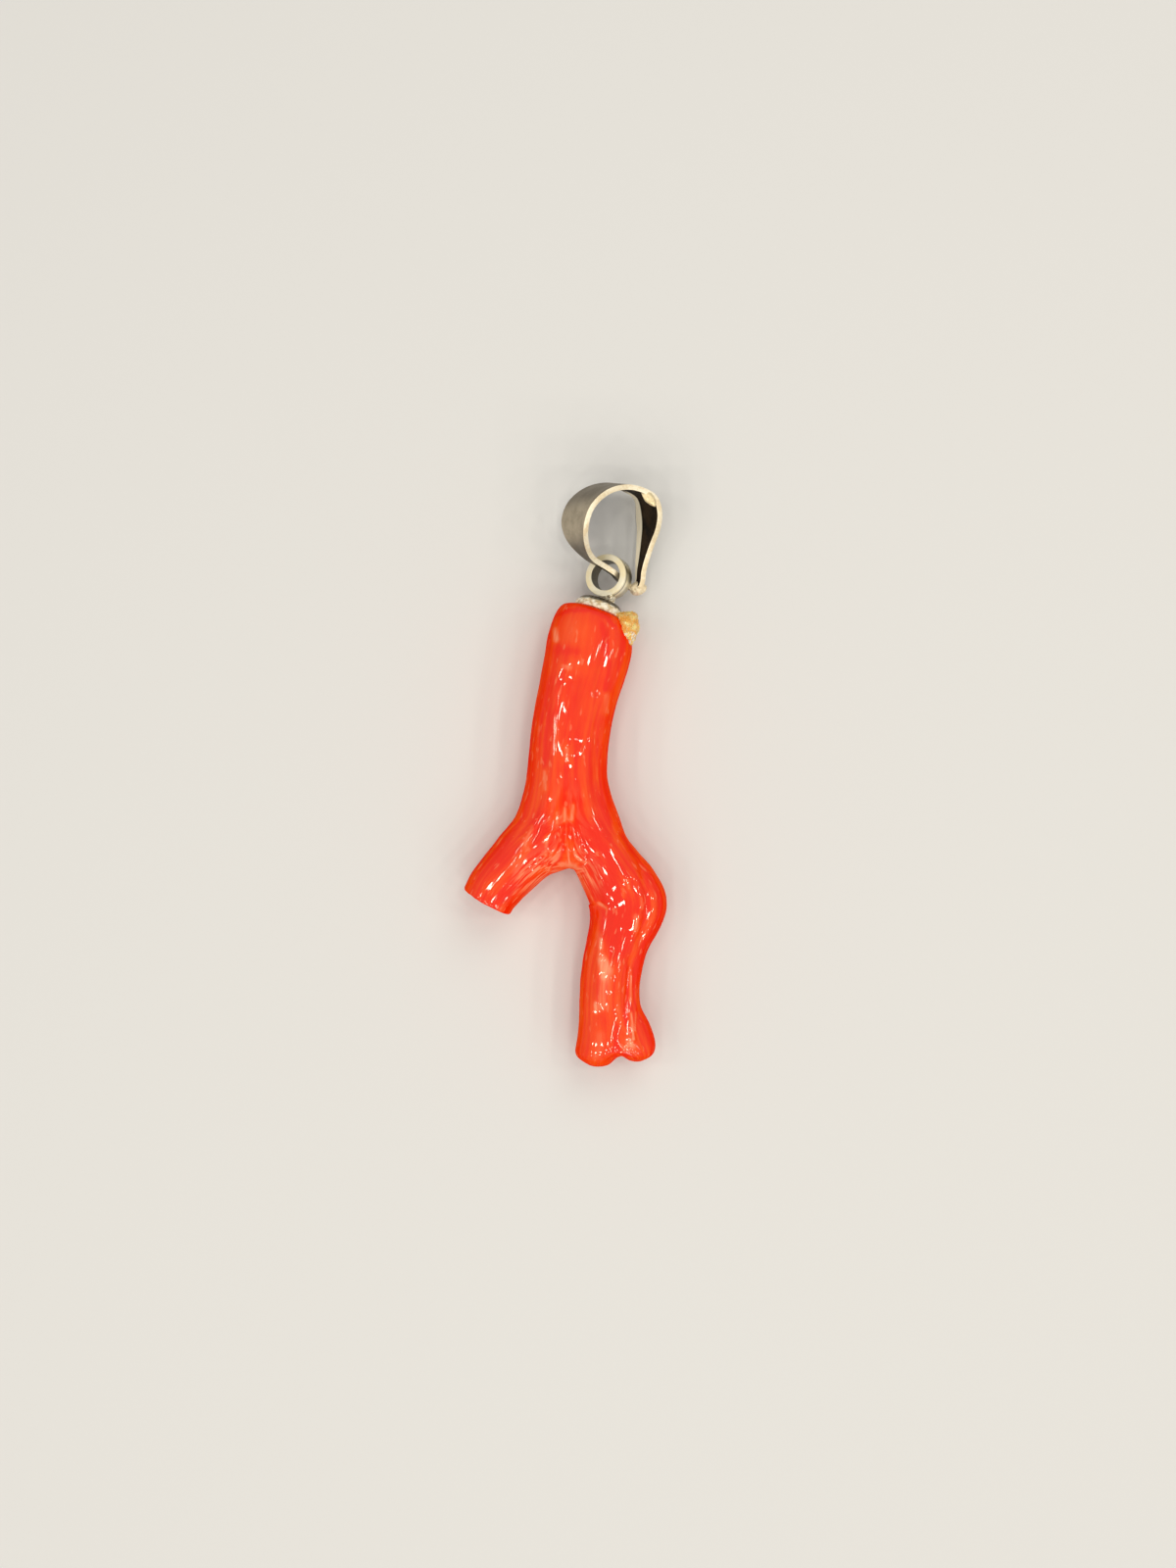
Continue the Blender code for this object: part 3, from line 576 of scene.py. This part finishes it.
# the pale pink below also colours a painted sheen round one pit
PIT_PINK_AND_SHEEN = (1.00, 0.38, 0.22)
FLECK = (0.98, 0.26, 0.12)
DRY_FIBRE = (1.00, 0.310, 0.160)


def coral_finish():
    """Lacquered red coral: deep red between the growth lines, orange red on them, pale in the pits,
    with painted shade along the grooves and the sawn top's rim, and a painted sheen round one pit.
    """
    f = Finish("lacquered_coral")
    place = f.place()
    strand = f.lines("strand")
    tint_and_painted_light, rough, line = f.mask("tint_and_painted_light"), f.mask("rough"), f.mask("line")
    broad = f.grain(f.stretched(strand, (0.9, 0.9, 0.10)), 1.0)
    fine = f.grain(f.stretched(strand, (4.2, 4.2, 0.35)), 1.0, 3.0)
    cloud = f.grain(place, 0.35)
    flecks = f.ease(f.grain(f.stretched(strand, (2.6, 2.6, 0.9)), 1.0, 1.0), 0.64, 0.74)
    streaks = broad * 0.9 + fine * 0.45 + line * 0.22
    depth = streaks + (0.70 - streaks) * f.mask("polished") * 0.65 + cloud * 0.35 + tint_and_painted_light * 0.42
    body = f.blend(f.ease(depth, 0.68, 1.10), DEEP_RED, ORANGE_RED)
    body = f.blend(f.ease(depth, 0.98, 1.40), body, LIGHT_RED)
    # the coral's own paleness in pits and marks, and at one pit a painted sheen
    pale_and_sheen = f.ease(tint_and_painted_light, 0.25, 0.95, 0.0, 0.90) * f.ease(fine, 0.30, 0.60, 0.45, 1.0)
    body = f.blend(pale_and_sheen, body, PIT_PINK_AND_SHEEN)
    body = f.blend(flecks * 0.45, body, FLECK)
    fibre = f.grain(f.stretched(strand, (6.0, 1.7, 0.40)), 1.0, 3.0)
    parted = f.grain(f.stretched(f.lines("parting"), (5.0, 1.0, 0.50)), 1.0, 3.0)
    fibre = fibre + (parted - fibre) * f.ease(f.mask("fork"), 0.10, 0.60)
    fibre = fibre + (0.53 - fibre) * f.mask("web") * 0.85
    relief = fine * 0.6 + rough * fibre * 1.6 + f.grain(place, 1.6) * 0.5
    edge_on = f.node("ShaderNodeLayerWeight", {}, {"Blend": 0.5}, output="Facing")
    lacquer = (1.0 - rough * 0.70) * (1.0 - f.mask("matt") * 0.72)
    values = {
        "Base Color": f.blend(rough * f.ease(fibre, 0.45, 0.62, 0.06, 1.00), body, DRY_FIBRE),
        "Roughness": 0.26 + rough * 0.30 + fine * 0.06,
        "Specular IOR Level": 0.0,
        "Coat Weight": lacquer * (1.0 - f.ease(edge_on, 0.12, 0.44) * 0.95),
        "Coat IOR": 1.68,
        "Coat Roughness": 0.06,
        "Subsurface Weight": 0.12,
        "Subsurface Radius": (1.0, 0.25, 0.12),
        "Subsurface Scale": 0.0006,
        "Normal": f.bump(relief, 0.035),
    }
    f.set(f.shader, values)
    return f.material


coral = add_piece("coral", coral_cage(), [coral_finish()])
rounding = coral.modifiers.new("rounding", "SUBSURF")
rounding.levels = 3
rounding.render_levels = 3
dress_coral(settle(coral))
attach(coral, "pendant")
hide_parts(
    "coral_trunk", "coral_side_branch", "coral_lower_branch", "coral_left_tip", "coral_right_tip"
)

# The cap. A shallow domed disc of silver glued over the sawn top, with a short neck on it that is
# soldered to the eyelet. Its thin rim was pressed down on the coral by hand and is dented and bright.
# Its dome under the eyelet is darkened with painted shade and some tarnish.

CAP_CENTRE = Vector((2.84, 14.56, 2.98)) * MM
CAP_RADIUS = 2.20 * MM
CAP_SEAT = -0.30 * MM  # its underside, pressed into the coral's rounded edge
CAP_RIM = 0.36 * MM
CAP_HEIGHT = 0.88 * MM
DOME_STEPS = 10
ROUND_SIDES = 96
RIM_WAVE = 0.030
RIM_DENT = 0.070 * MM
NECK_RADIUS = 0.50 * MM
NECK_SHIFT = Vector((0.580, -0.199, 0.0)) * MM
NECK_SOLDER = 0.16 * MM  # the neck's upper end is run this far into the eyelet's wall
EYELET_CENTRE = Vector((3.77, 17.60, 2.10)) * MM
EYELET_AXIS = Vector((-0.381, 0.125, 0.916)).normalized()
EYELET_OUTER = 1.93 * MM
CAP_COLOURS = (1.00, 0.96, 0.82), (0.62, 0.47, 0.26)
# dark colour for painted shade and for tarnish, where the mask marks them
PAINTED_SHADE_AND_TARNISH = (0.100, 0.084, 0.060)


def turned(profile, sides):
    """A solid turned about +Z from a profile of (radius, height) points."""
    bm = bmesh.new()
    verts = [bm.verts.new((radius, 0.0, height)) for radius, height in profile]
    closed = profile[0][0] > 0
    edges = [bm.edges.new(pair) for pair in zip(verts, verts[1:] + verts[:1] if closed else verts[1:])]
    spin = {"cent": (0, 0, 0), "axis": (0, 0, 1), "angle": 2 * math.pi, "steps": sides, "use_merge": True}
    bmesh.ops.spin(bm, geom=verts + edges, **spin)
    bmesh.ops.remove_doubles(bm, verts=bm.verts[:], dist=0.002 * MM)
    bmesh.ops.recalc_face_normals(bm, faces=bm.faces[:])
    return bm


def stand(bm, centre, axis):
    """Turn +Z to the axis and move the origin to the centre."""
    turn = axis.to_track_quat("Z", "Y").to_matrix().to_4x4()
    bmesh.ops.transform(bm, matrix=Matrix.Translation(centre) @ turn, verts=bm.verts[:])


def dent(bm, verts, size, depth):
    """Small uneven dents, as hand work leaves them."""
    bm.normal_update()
    moves = [vert.normal * (noise.noise(vert.co / size) * depth) for vert in verts]
    for vert, move in zip(verts, moves):
        vert.co += move


def silver_finish(name, colours, roughness, pits, patch):
    """Soft silver with faint clouding, fine scratches and small pits that catch the light, darkened where
    a mask marks painted shade and tarnish.
    """
    f = Finish(name)
    place = f.place()
    cloud = f.grain(place, patch, 3.0)
    scratch = f.grain(f.stretched(place, (14.0, 2.4, 14.0)), 1.0, 2.0)
    hammer = f.cells(place, 4.5)
    clean = f.blend(f.ease(cloud, 0.40, 0.66), *colours)
    values = {
        "Base Color": f.blend(f.mask("painted_shade_and_tarnish") * 0.88, clean, PAINTED_SHADE_AND_TARNISH),
        "Metallic": 1.0 - f.mask("satin") * 0.84,
        "Roughness": roughness + cloud * 0.10 + scratch * 0.08,
        "Normal": f.bump(scratch * 0.35 + hammer * pits, 0.03),
    }
    f.set(f.shader, values)
    return f.material


def neck_reach():
    """How far the neck's middle line runs before it meets the eyelet's wall."""
    start = CAP_CENTRE + NECK_SHIFT - EYELET_CENTRE
    start -= EYELET_AXIS * start.dot(EYELET_AXIS)
    run = TOP_FACE - EYELET_AXIS * TOP_FACE.dot(EYELET_AXIS)
    slope = start.dot(run)
    root = math.sqrt(slope**2 - run.dot(run) * (start.dot(start) - EYELET_OUTER**2))
    return (-slope - root) / run.dot(run)


cap_profile = [(0.0, CAP_SEAT), (CAP_RADIUS - 0.03 * MM, CAP_SEAT)]
for height, inset in ((-0.22, 0.0), (-0.08, 0.0), (0.06, 0.0), (0.16, 0.01), (0.26, 0.05), (0.33, 0.12)):
    cap_profile.append((CAP_RADIUS - inset * MM, height * MM))
for step in range(1, DOME_STEPS + 1):
    angle = 0.5 * math.pi * step / DOME_STEPS
    foot = NECK_RADIUS * 1.45
    radius = foot + (CAP_RADIUS - 0.20 * MM - foot) * max(0.0, math.cos(angle)) ** 0.6
    cap_profile.append((radius, CAP_RIM + (CAP_HEIGHT - CAP_RIM) * math.sin(angle)))
neck_top = neck_reach() + NECK_SOLDER
cap_profile += [(NECK_RADIUS * 1.14, CAP_HEIGHT + 0.05 * MM), (NECK_RADIUS, CAP_HEIGHT + 0.14 * MM)]
cap_profile += [(NECK_RADIUS, neck_top - 0.12 * MM), (NECK_RADIUS * 0.9, neck_top), (0.0, neck_top)]
cap_mesh = turned(cap_profile, ROUND_SIDES)
painted_shade_and_tarnish, satin = (cap_mesh.verts.layers.float.new(name) for name in ("painted_shade_and_tarnish", "satin"))
neck_shift = TOP_FACE.to_track_quat("Z", "Y").inverted() @ NECK_SHIFT
for vert in cap_mesh.verts:
    out = math.hypot(vert.co.x, vert.co.y)
    # painted shade: the dome under the eyelet is darkened, with some tarnish
    vert[painted_shade_and_tarnish] = float(vert.co.z > CAP_RIM and out > NECK_RADIUS * 1.3)
    vert[satin] = float(out > CAP_RADIUS * 0.9)
    if out > CAP_RADIUS * 0.9:  # the rim was pressed down by hand, so it is wavy
        vert.co *= 1 + RIM_WAVE * noise.noise(vert.co / (0.55 * MM))
    if out < NECK_RADIUS * 1.5 and vert.co.z > CAP_RIM:
        vert.co += neck_shift
stand(cap_mesh, CAP_CENTRE, TOP_FACE)
pressed = [vert for vert in cap_mesh.verts if vert[satin]]
dent(cap_mesh, pressed, 0.26 * MM, RIM_DENT)
cap_finish = silver_finish("cap_silver", CAP_COLOURS, roughness=0.22, pits=3.0, patch=2.2)
cap = add_piece("cap_and_neck", cap_mesh, [cap_finish])
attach(cap, "pendant")
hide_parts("cap")

# The eyelet. A short thick tube of silver, sawn from stock and tumbled, soldered to the neck. Its bore
# leans to the left as it rises, and the bail's strip runs through it. A dark line round its wall is a
# painted reflection, and its lower half is darker with painted shade.

EYELET_BORE = 1.36 * MM
EYELET_LENGTH = 1.60 * MM
EYELET_EDGE = 0.07 * MM
EYELET_LINE = 0.46 * MM  # height of the painted dark reflection that runs round it
EYELET_COLOURS = (1.00, 0.96, 0.78), (0.97, 0.88, 0.60)

half_length = EYELET_LENGTH / 2
wall = [(EYELET_BORE, -half_length), (EYELET_OUTER, -half_length)]
wall += [(EYELET_OUTER, height * MM) for height in (-0.50, -0.20, 0.10, 0.34, 0.42, 0.50, 0.58)]
wall += [(EYELET_OUTER, half_length), (EYELET_BORE, half_length)]
eyelet_mesh = turned(wall, ROUND_SIDES)
painted_shade_and_tarnish, satin = (eyelet_mesh.verts.layers.float.new(name) for name in ("painted_shade_and_tarnish", "satin"))
rims = [edge for edge in eyelet_mesh.edges if edge.calc_face_angle() > math.radians(60)]
easing = {"affect": "EDGES", "offset_type": "OFFSET", "segments": 4, "profile": 0.5, "material": -1}
bmesh.ops.bevel(eyelet_mesh, geom=rims, offset=EYELET_EDGE, **easing)
# the bore is dark with tarnish, the line round the wall is a painted dark reflection, and the lower half
# is painted shade
for vert in eyelet_mesh.verts:
    in_bore = math.hypot(vert.co.x, vert.co.y) < EYELET_BORE + 0.01 * MM
    in_line = abs(vert.co.z - EYELET_LINE) < 0.06 * MM
    on_lower_half = vert.co.z < -0.1 * MM
    vert[painted_shade_and_tarnish] = 1.0 if in_bore else 0.8 if in_line else 0.55 if on_lower_half else 0.0
    vert[satin] = float(abs(vert.co.z) > half_length - 0.03 * MM)
stand(eyelet_mesh, EYELET_CENTRE, EYELET_AXIS)
dent(eyelet_mesh, eyelet_mesh.verts[:], 0.9 * MM, 0.018 * MM)
eyelet_finish = silver_finish("eyelet_silver", EYELET_COLOURS, roughness=0.26, pits=0.4, patch=0.9)
eyelet = add_piece("eyelet_ring", eyelet_mesh, [eyelet_finish])
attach(eyelet, "pendant")
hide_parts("eyelet")

# The glue. Amber resin squeezed out at the right corner of the cap, set hard and grainy. Its lower end
# runs out thin over the coral, with near-white painted glints on it.

GLUE_CENTRE = Vector((5.42, 12.92, 3.85)) * MM
GLUE_RADII = Vector((1.03, 1.62, 1.40)) * MM
GLUE_LUMPS = ((5.0, 0.07), (12.0, 0.05), (24.0, 0.04))  # how close together, and how high
GLUE_COLOURS = (0.92, 0.44, 0.060), (1.00, 0.80, 0.30)
# pale crumbs in the resin, partly painted highlights; then the near-white of the painted glints
GLUE_CRUMB_AND_GLINT = (1.00, 0.86, 0.55)
GLUE_PAINTED_GLINT = (1.00, 0.95, 0.84)


def glue_finish():
    """Amber resin with pale crumbs in it, partly painted highlights, and near-white painted glints where
    it runs out.
    """
    f = Finish("amber_glue")
    place = f.place()
    crumbs = f.cells(place, 6.4)
    cloud = f.grain(place, 1.5, 3.0)
    body = f.blend(f.ease(cloud, 0.38, 0.64), *GLUE_COLOURS)
    # the pale crumbs are partly painted highlight, and the near-white spots where it runs out are painted
    # glints
    body = f.blend(f.ease(crumbs, 0.34, 0.12, 0.0, 0.85), body, GLUE_CRUMB_AND_GLINT)
    painted_glints = f.ease(f.cells(place, 3.2), 0.48, 0.30) * f.mask("runout")
    values = {
        "Base Color": f.blend(painted_glints, body, GLUE_PAINTED_GLINT),
        "Roughness": 0.12 + cloud * 0.26,
        "Coat Weight": 0.6,
        "Coat Roughness": 0.06,
        "Subsurface Weight": 0.15,
        "Subsurface Radius": (1.0, 0.5, 0.2),
        "Subsurface Scale": 0.0005,
        "Normal": f.bump(crumbs * -1.0 + f.grain(place, 7.0) * 0.5, 0.10),
    }
    f.set(f.shader, values)
    return f.material


glue_mesh = bmesh.new()
bmesh.ops.create_icosphere(glue_mesh, subdivisions=6, radius=1.0)
runout = glue_mesh.verts.layers.float.new("runout")
for vert in glue_mesh.verts:
    x, y, z = vert.co
    vert[runout] = min(1.0, max(0.0, -0.2 - y) * 5)
    swell = 1 + 0.05 * math.sin(5 * x + 2) * math.cos(4 * y)
    swell += sum(high * noise.noise(vert.co * close) for close, high in GLUE_LUMPS)
    if y > 0:  # the upper end is squared off against the cap
        shaped = Vector((x * (1 + 0.9 * y**3) - 0.16 * y, y * (1 - 0.10 * y * y), z * (1 + 0.2 * y)))
    else:  # the lower end runs out to a point over the coral
        shaped = Vector((x * (1 + 0.38 * y), y, z * (1 + 0.30 * y)))
    vert.co = GLUE_CENTRE + Vector(a * b for a, b in zip(shaped * swell, GLUE_RADII))
glue = add_piece("glue_squeezed_out", glue_mesh, [glue_finish()])
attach(glue, "pendant")
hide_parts("glue_bead")

# The bail. One strip of sheet silver, wide at the crown and narrow at both ends, folded round into a
# loop whose ends link through the eyelet. Satin outside, dark with age inside, rubbed bright on its
# edges, with a run of solder on its right shoulder and a rounded nub where its foot is bent over. Its
# curled edge is painted near-white as a painted highlight, and both bends are darker with painted shade.

BAIL_ROUTE = (  # the strip's middle line: x, y, half width
    (4.26, 17.88, 0.50),
    (3.51, 18.36, 0.52),
    (1.94, 19.28, 1.00),
    (0.97, 20.66, 2.20),
    (0.75, 21.98, 2.78),
    (1.18, 23.49, 2.85),
    (2.73, 25.00, 2.65),
    (4.58, 25.51, 2.43),
    (5.80, 25.34, 2.35),
    (7.00, 24.70, 2.30),
    (7.46, 23.20, 2.25),
    (7.44, 22.10, 1.90),
    (7.10, 20.40, 1.20),
    (6.66, 18.20, 0.66),
    (6.54, 17.15, 0.58),
)
# The two ends meet under the eyelet's right wall: x, y, z, half width
BAIL_TIP = ((4.58, 17.58, 1.88, 0.48), (5.02, 17.24, 1.26, 0.46))
BAIL_FOOT = ((6.32, 16.72, 1.30, 0.56), (5.84, 16.68, 1.16, 0.52), (5.38, 16.98, 1.12, 0.48))
ACROSS = Vector((0.36, -0.16, 0.919)).normalized()  # across the strip, towards the eye
BAIL_LIFT = 2.60  # height of the route's plane above the table, under the eyelet's centre
BAIL_STEP = 0.16
BAIL_SHARES = (-1.0, -0.9, -0.8, -0.7, -0.6, -0.4, -0.2, 0.0, 0.25, 0.5, 0.75, 1.0)  # across the width
BAIL_SHEET = 0.46
BAIL_EDGE = 0.045
BAIL_CORNER = math.radians(50)  # corners sharper than this are eased
BAIL_CURL = 0.34  # how far the edge on the table is curled inwards along the right wall
CURL_SHARE = 0.6  # where across the strip the curl starts
# near-white of edges rubbed bright, also used as a painted highlight on the curled edge
RUBBED_AND_PAINTED_GLINT = (1.00, 0.94, 0.77)
# painted shade: the dark colour laid on both bends of the loop
PAINTED_BEND_SHADE = (0.10, 0.080, 0.055)
FAR_EDGE = (0.22, 0.185, 0.13)
SATIN_COLOURS = (0.48, 0.41, 0.30), (0.38, 0.325, 0.235)
INSIDE_COLOURS = (0.034, 0.017, 0.004), (0.006, 0.003, 0.001)
EDGE_COLOURS = RUBBED_AND_PAINTED_GLINT, (0.84, 0.72, 0.50)
SOLDER_COLOURS = (0.92, 0.80, 0.52), (0.60, 0.46, 0.24)


def bail_stations():
    """The strip's middle line in space: the tip's end, the loop and the foot's end."""
    loop = []
    for x, y, half_width in BAIL_ROUTE:
        out_x, out_y = x - EYELET_CENTRE.x / MM, y - EYELET_CENTRE.y / MM
        loop.append((x, y, BAIL_LIFT - (out_x * ACROSS.x + out_y * ACROSS.y) / ACROSS.z, half_width))
    return list(BAIL_TIP[::-1]) + loop + list(BAIL_FOOT)


def bail_finish(name, colours, metal, roughness, depth, shine=0.5, bend_shade=0.0, far=0.0):
    """Worn sheet silver: cloudy, with fine scratches that run round the loop.

    One share darkens both bends as painted shade, and the share far darkens the edge on the table.
    """
    f = Finish(name)
    place = f.place()
    cloud = f.grain(place, 0.7, 4.0)
    spots = f.grain(place, 5.0, 2.0)
    scratch = f.grain(f.stretched(place, (3.0, 3.0, 26.0)), 1.0, 2.0)
    across = f.mask("across")
    x, y = (f.node("ShaderNodeSeparateXYZ", {}, {0: place}, output=axis) for axis in "XY")
    right = f.ease(x, 4.8, 5.8)
    painted_lip_glint = f.ease(across, -0.62, -0.70) * right  # the curled edge is painted near-white and not metallic, as a painted highlight
    # painted shade: darker at the crown and towards the foot
    painted_bend_shade = f.ease(y, 22.8, 24.8, 0.0, bend_shade) + f.ease(y, 21.4, 19.6, 0.0, bend_shade * 1.2)
    body = f.blend(f.ease(cloud * 0.7 + spots * 0.3, 0.40, 0.62), *colours)
    body = f.blend(f.ease(across, -0.3, -0.8) * (1.0 - right) * far, body, FAR_EDGE)
    values = {
        "Base Color": f.blend(painted_lip_glint, f.blend(painted_bend_shade, body, PAINTED_BEND_SHADE), RUBBED_AND_PAINTED_GLINT),
        "Metallic": metal - painted_lip_glint * metal,
        "Roughness": roughness + cloud * 0.20,
        "Specular IOR Level": shine,
        "Normal": f.bump(scratch * 0.5 + spots * 0.5, depth),
    }
    f.set(f.shader, values)
    return f.material


def risen(value, start, span):
    """0 up to the start, then rising to 1 over the span."""
    return min(1.0, max(0.0, (value - start) / span))


strip = bmesh.new()
across = strip.verts.layers.float.new("across")
rows, headings = follow(bail_stations(), BAIL_STEP)
line = [strip.verts.new(Vector(rows[0][:3]) + ACROSS * rows[0][3] * share) for share in BAIL_SHARES]
for vert, share in zip(line, BAIL_SHARES):
    vert[across] = share
edges = [strip.edges.new(pair) for pair in zip(line, line[1:])]
for row, heading in zip(rows[1:], headings[1:]):
    made = bmesh.ops.extrude_edge_only(strip, edges=edges)["geom"]
    fresh = {item for item in made if isinstance(item, bmesh.types.BMVert)}
    line = [next(e.other_vert(v) for e in v.link_edges if e.other_vert(v) in fresh) for v in line]
    x, y, _, half_width = row
    curled = risen(x, 5.2, 2.0) * risen(half_width, 0.5, 0.3) * max(0.25, risen(-y, -24.6, 1.8))
    curl = heading.cross(ACROSS).normalized() * (BAIL_CURL * curled)
    for vert, share in zip(line, BAIL_SHARES):
        bent = curl * max(0.0, -share - CURL_SHARE) / (1 - CURL_SHARE)
        vert.co = Vector(row[:3]) + ACROSS * half_width * share + bent
        vert[across] = share
    edges = [strip.edges.get(pair) for pair in zip(line, line[1:])]
bmesh.ops.scale(strip, vec=(MM, MM, MM), verts=strip.verts[:])
bmesh.ops.recalc_face_normals(strip, faces=strip.faces[:])
bail_finishes = [
    bail_finish("bail_satin", SATIN_COLOURS, metal=1.0, roughness=0.36, depth=0.012, bend_shade=0.72),
    bail_finish("bail_inside", INSIDE_COLOURS, metal=0.0, roughness=0.50, depth=0.02, shine=0.08),
    bail_finish("bail_edge", EDGE_COLOURS, metal=0.45, roughness=0.30, depth=0.03, far=1.0),
    bail_finish("bail_solder", SOLDER_COLOURS, metal=0.60, roughness=0.24, depth=0.05),
]
bail = add_piece("bail_strip", strip, bail_finishes[:3])
sheet = bail.modifiers.new("sheet", "SOLIDIFY")
sheet.thickness = BAIL_SHEET * MM
sheet.offset = 0.0
sheet.use_even_offset = True
sheet.material_offset = 1
sheet.material_offset_rim = 2
edge = bail.modifiers.new("edges", "BEVEL")
edge.width = BAIL_EDGE * MM
edge.segments = 3
edge.limit_method = "ANGLE"
edge.angle_limit = BAIL_CORNER
settle(bail)
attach(bail, "bail")
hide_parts("bail")


def add_solder(name, finish, centre, radii, turn, seed):
    """A small drop on the strip, flattened and with an uneven skin."""
    bm = bmesh.new()
    bmesh.ops.create_icosphere(bm, subdivisions=5, radius=1.0)
    for vert in bm.verts:
        swell = 1 + 0.16 * noise.noise(vert.co * 1.7 + seed) + 0.05 * noise.noise(vert.co * 6.0 + seed)
        vert.co = Vector(a * b * MM for a, b in zip(vert.co * swell, radii))
    bmesh.ops.rotate(bm, matrix=Matrix.Rotation(turn, 3, "Z"), verts=bm.verts[:])
    bmesh.ops.translate(bm, vec=centre * MM, verts=bm.verts[:])
    solder = add_piece(name, bm, [finish])
    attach(solder, "bail")


SOLDER_SPOT = (6.60, 24.95)  # a run of solder on the strip's near edge, at its right shoulder
SOLDER_RADII = (0.92, 0.42, 0.24)
SOLDER_TURN = math.radians(-52)
NUB_PLACE = Vector((6.34, 16.66, 1.30))  # the foot's bent end
NUB_RADII = (0.78, 0.60, 0.54)
NUB_TURN = math.radians(12)

crown_row = min(rows, key=lambda row: math.hypot(row[0] - SOLDER_SPOT[0], row[1] - SOLDER_SPOT[1]))
crown_edge = Vector(crown_row[:3]) + ACROSS * (crown_row[3] - 0.10)
run_place = crown_edge + Vector((-0.16, -0.30, 0.02))
_, _, edge_finish, solder_finish = bail_finishes
add_solder("bail_solder_run", solder_finish, run_place, SOLDER_RADII, SOLDER_TURN, Vector((3, 1, 2)))
add_solder("bail_foot_nub", edge_finish, NUB_PLACE, NUB_RADII, NUB_TURN, Vector((7, 5, 1)))

# The table, the light and the camera. A pale table in a plain bright room. A lamp of 24 small round
# panes hangs over it and gives the strings of glints; a wide soft lamp behind fills in and gives none.
# The camera looks straight down from about 20 cm.

LAMP_CORNER = (-0.36, -0.425)
LAMP_PITCH = (0.144, 0.155)
LAMP_COUNT = (6, 4)
LAMP_HEIGHT = 0.33
PANE_SIZE, PANE_WATTS = 0.030, 0.060
FILL_PLACE = (0.12, 0.26, 0.33)
FILL_SIZE, FILL_WATTS = 0.30, 0.42

table_finish = Finish("table")
table_finish.set(table_finish.shader, {"Base Color": (0.73, 0.76, 0.81, 1.0), "Roughness": 0.85})
table_mesh = bmesh.new()
bmesh.ops.create_grid(table_mesh, x_segments=1, y_segments=1, size=1.5)
table = add_piece("table", table_mesh, [table_finish.material])


def add_pane(name, place, size, watts, glints=True):
    """A round warm lamp aimed at the middle of the branch."""
    lamp = bpy.data.lights.new(name, "AREA")
    lamp.shape = "DISK"
    lamp.color = (1.0, 0.90, 0.74)
    lamp.size = size
    lamp.energy = watts
    light = bpy.data.objects.new(name, lamp)
    light.location = place
    light.rotation_mode = "QUATERNION"
    light.rotation_quaternion = Vector(place).to_track_quat("Z", "Y")
    light.visible_glossy = glints
    bpy.context.scene.collection.objects.link(light)


for column in range(LAMP_COUNT[0]):
    for row in range(LAMP_COUNT[1]):
        x = LAMP_CORNER[0] + LAMP_PITCH[0] * column
        y = LAMP_CORNER[1] + LAMP_PITCH[1] * row
        add_pane(f"pane_{column}_{row}", (x, y, LAMP_HEIGHT), PANE_SIZE, PANE_WATTS)
add_pane("fill", FILL_PLACE, FILL_SIZE, FILL_WATTS, glints=False)

world = bpy.data.worlds.new("room")
world.use_nodes = True
sky = world.node_tree.nodes["Background"]
sky.inputs["Color"].default_value = (1.0, 0.96, 0.88, 1.0)
sky.inputs["Strength"].default_value = 0.40
bpy.context.scene.world = world
bpy.context.scene.view_settings.view_transform = "Standard"

camera = bpy.data.objects.new("camera", bpy.data.cameras.new("camera"))
camera.data.lens = 50
camera.data.sensor_width = 36
camera.data.clip_start = 0.005
camera.location = (0.001913, -0.00087, 0.1965)
bpy.context.scene.collection.objects.link(camera)
bpy.context.scene.camera = camera
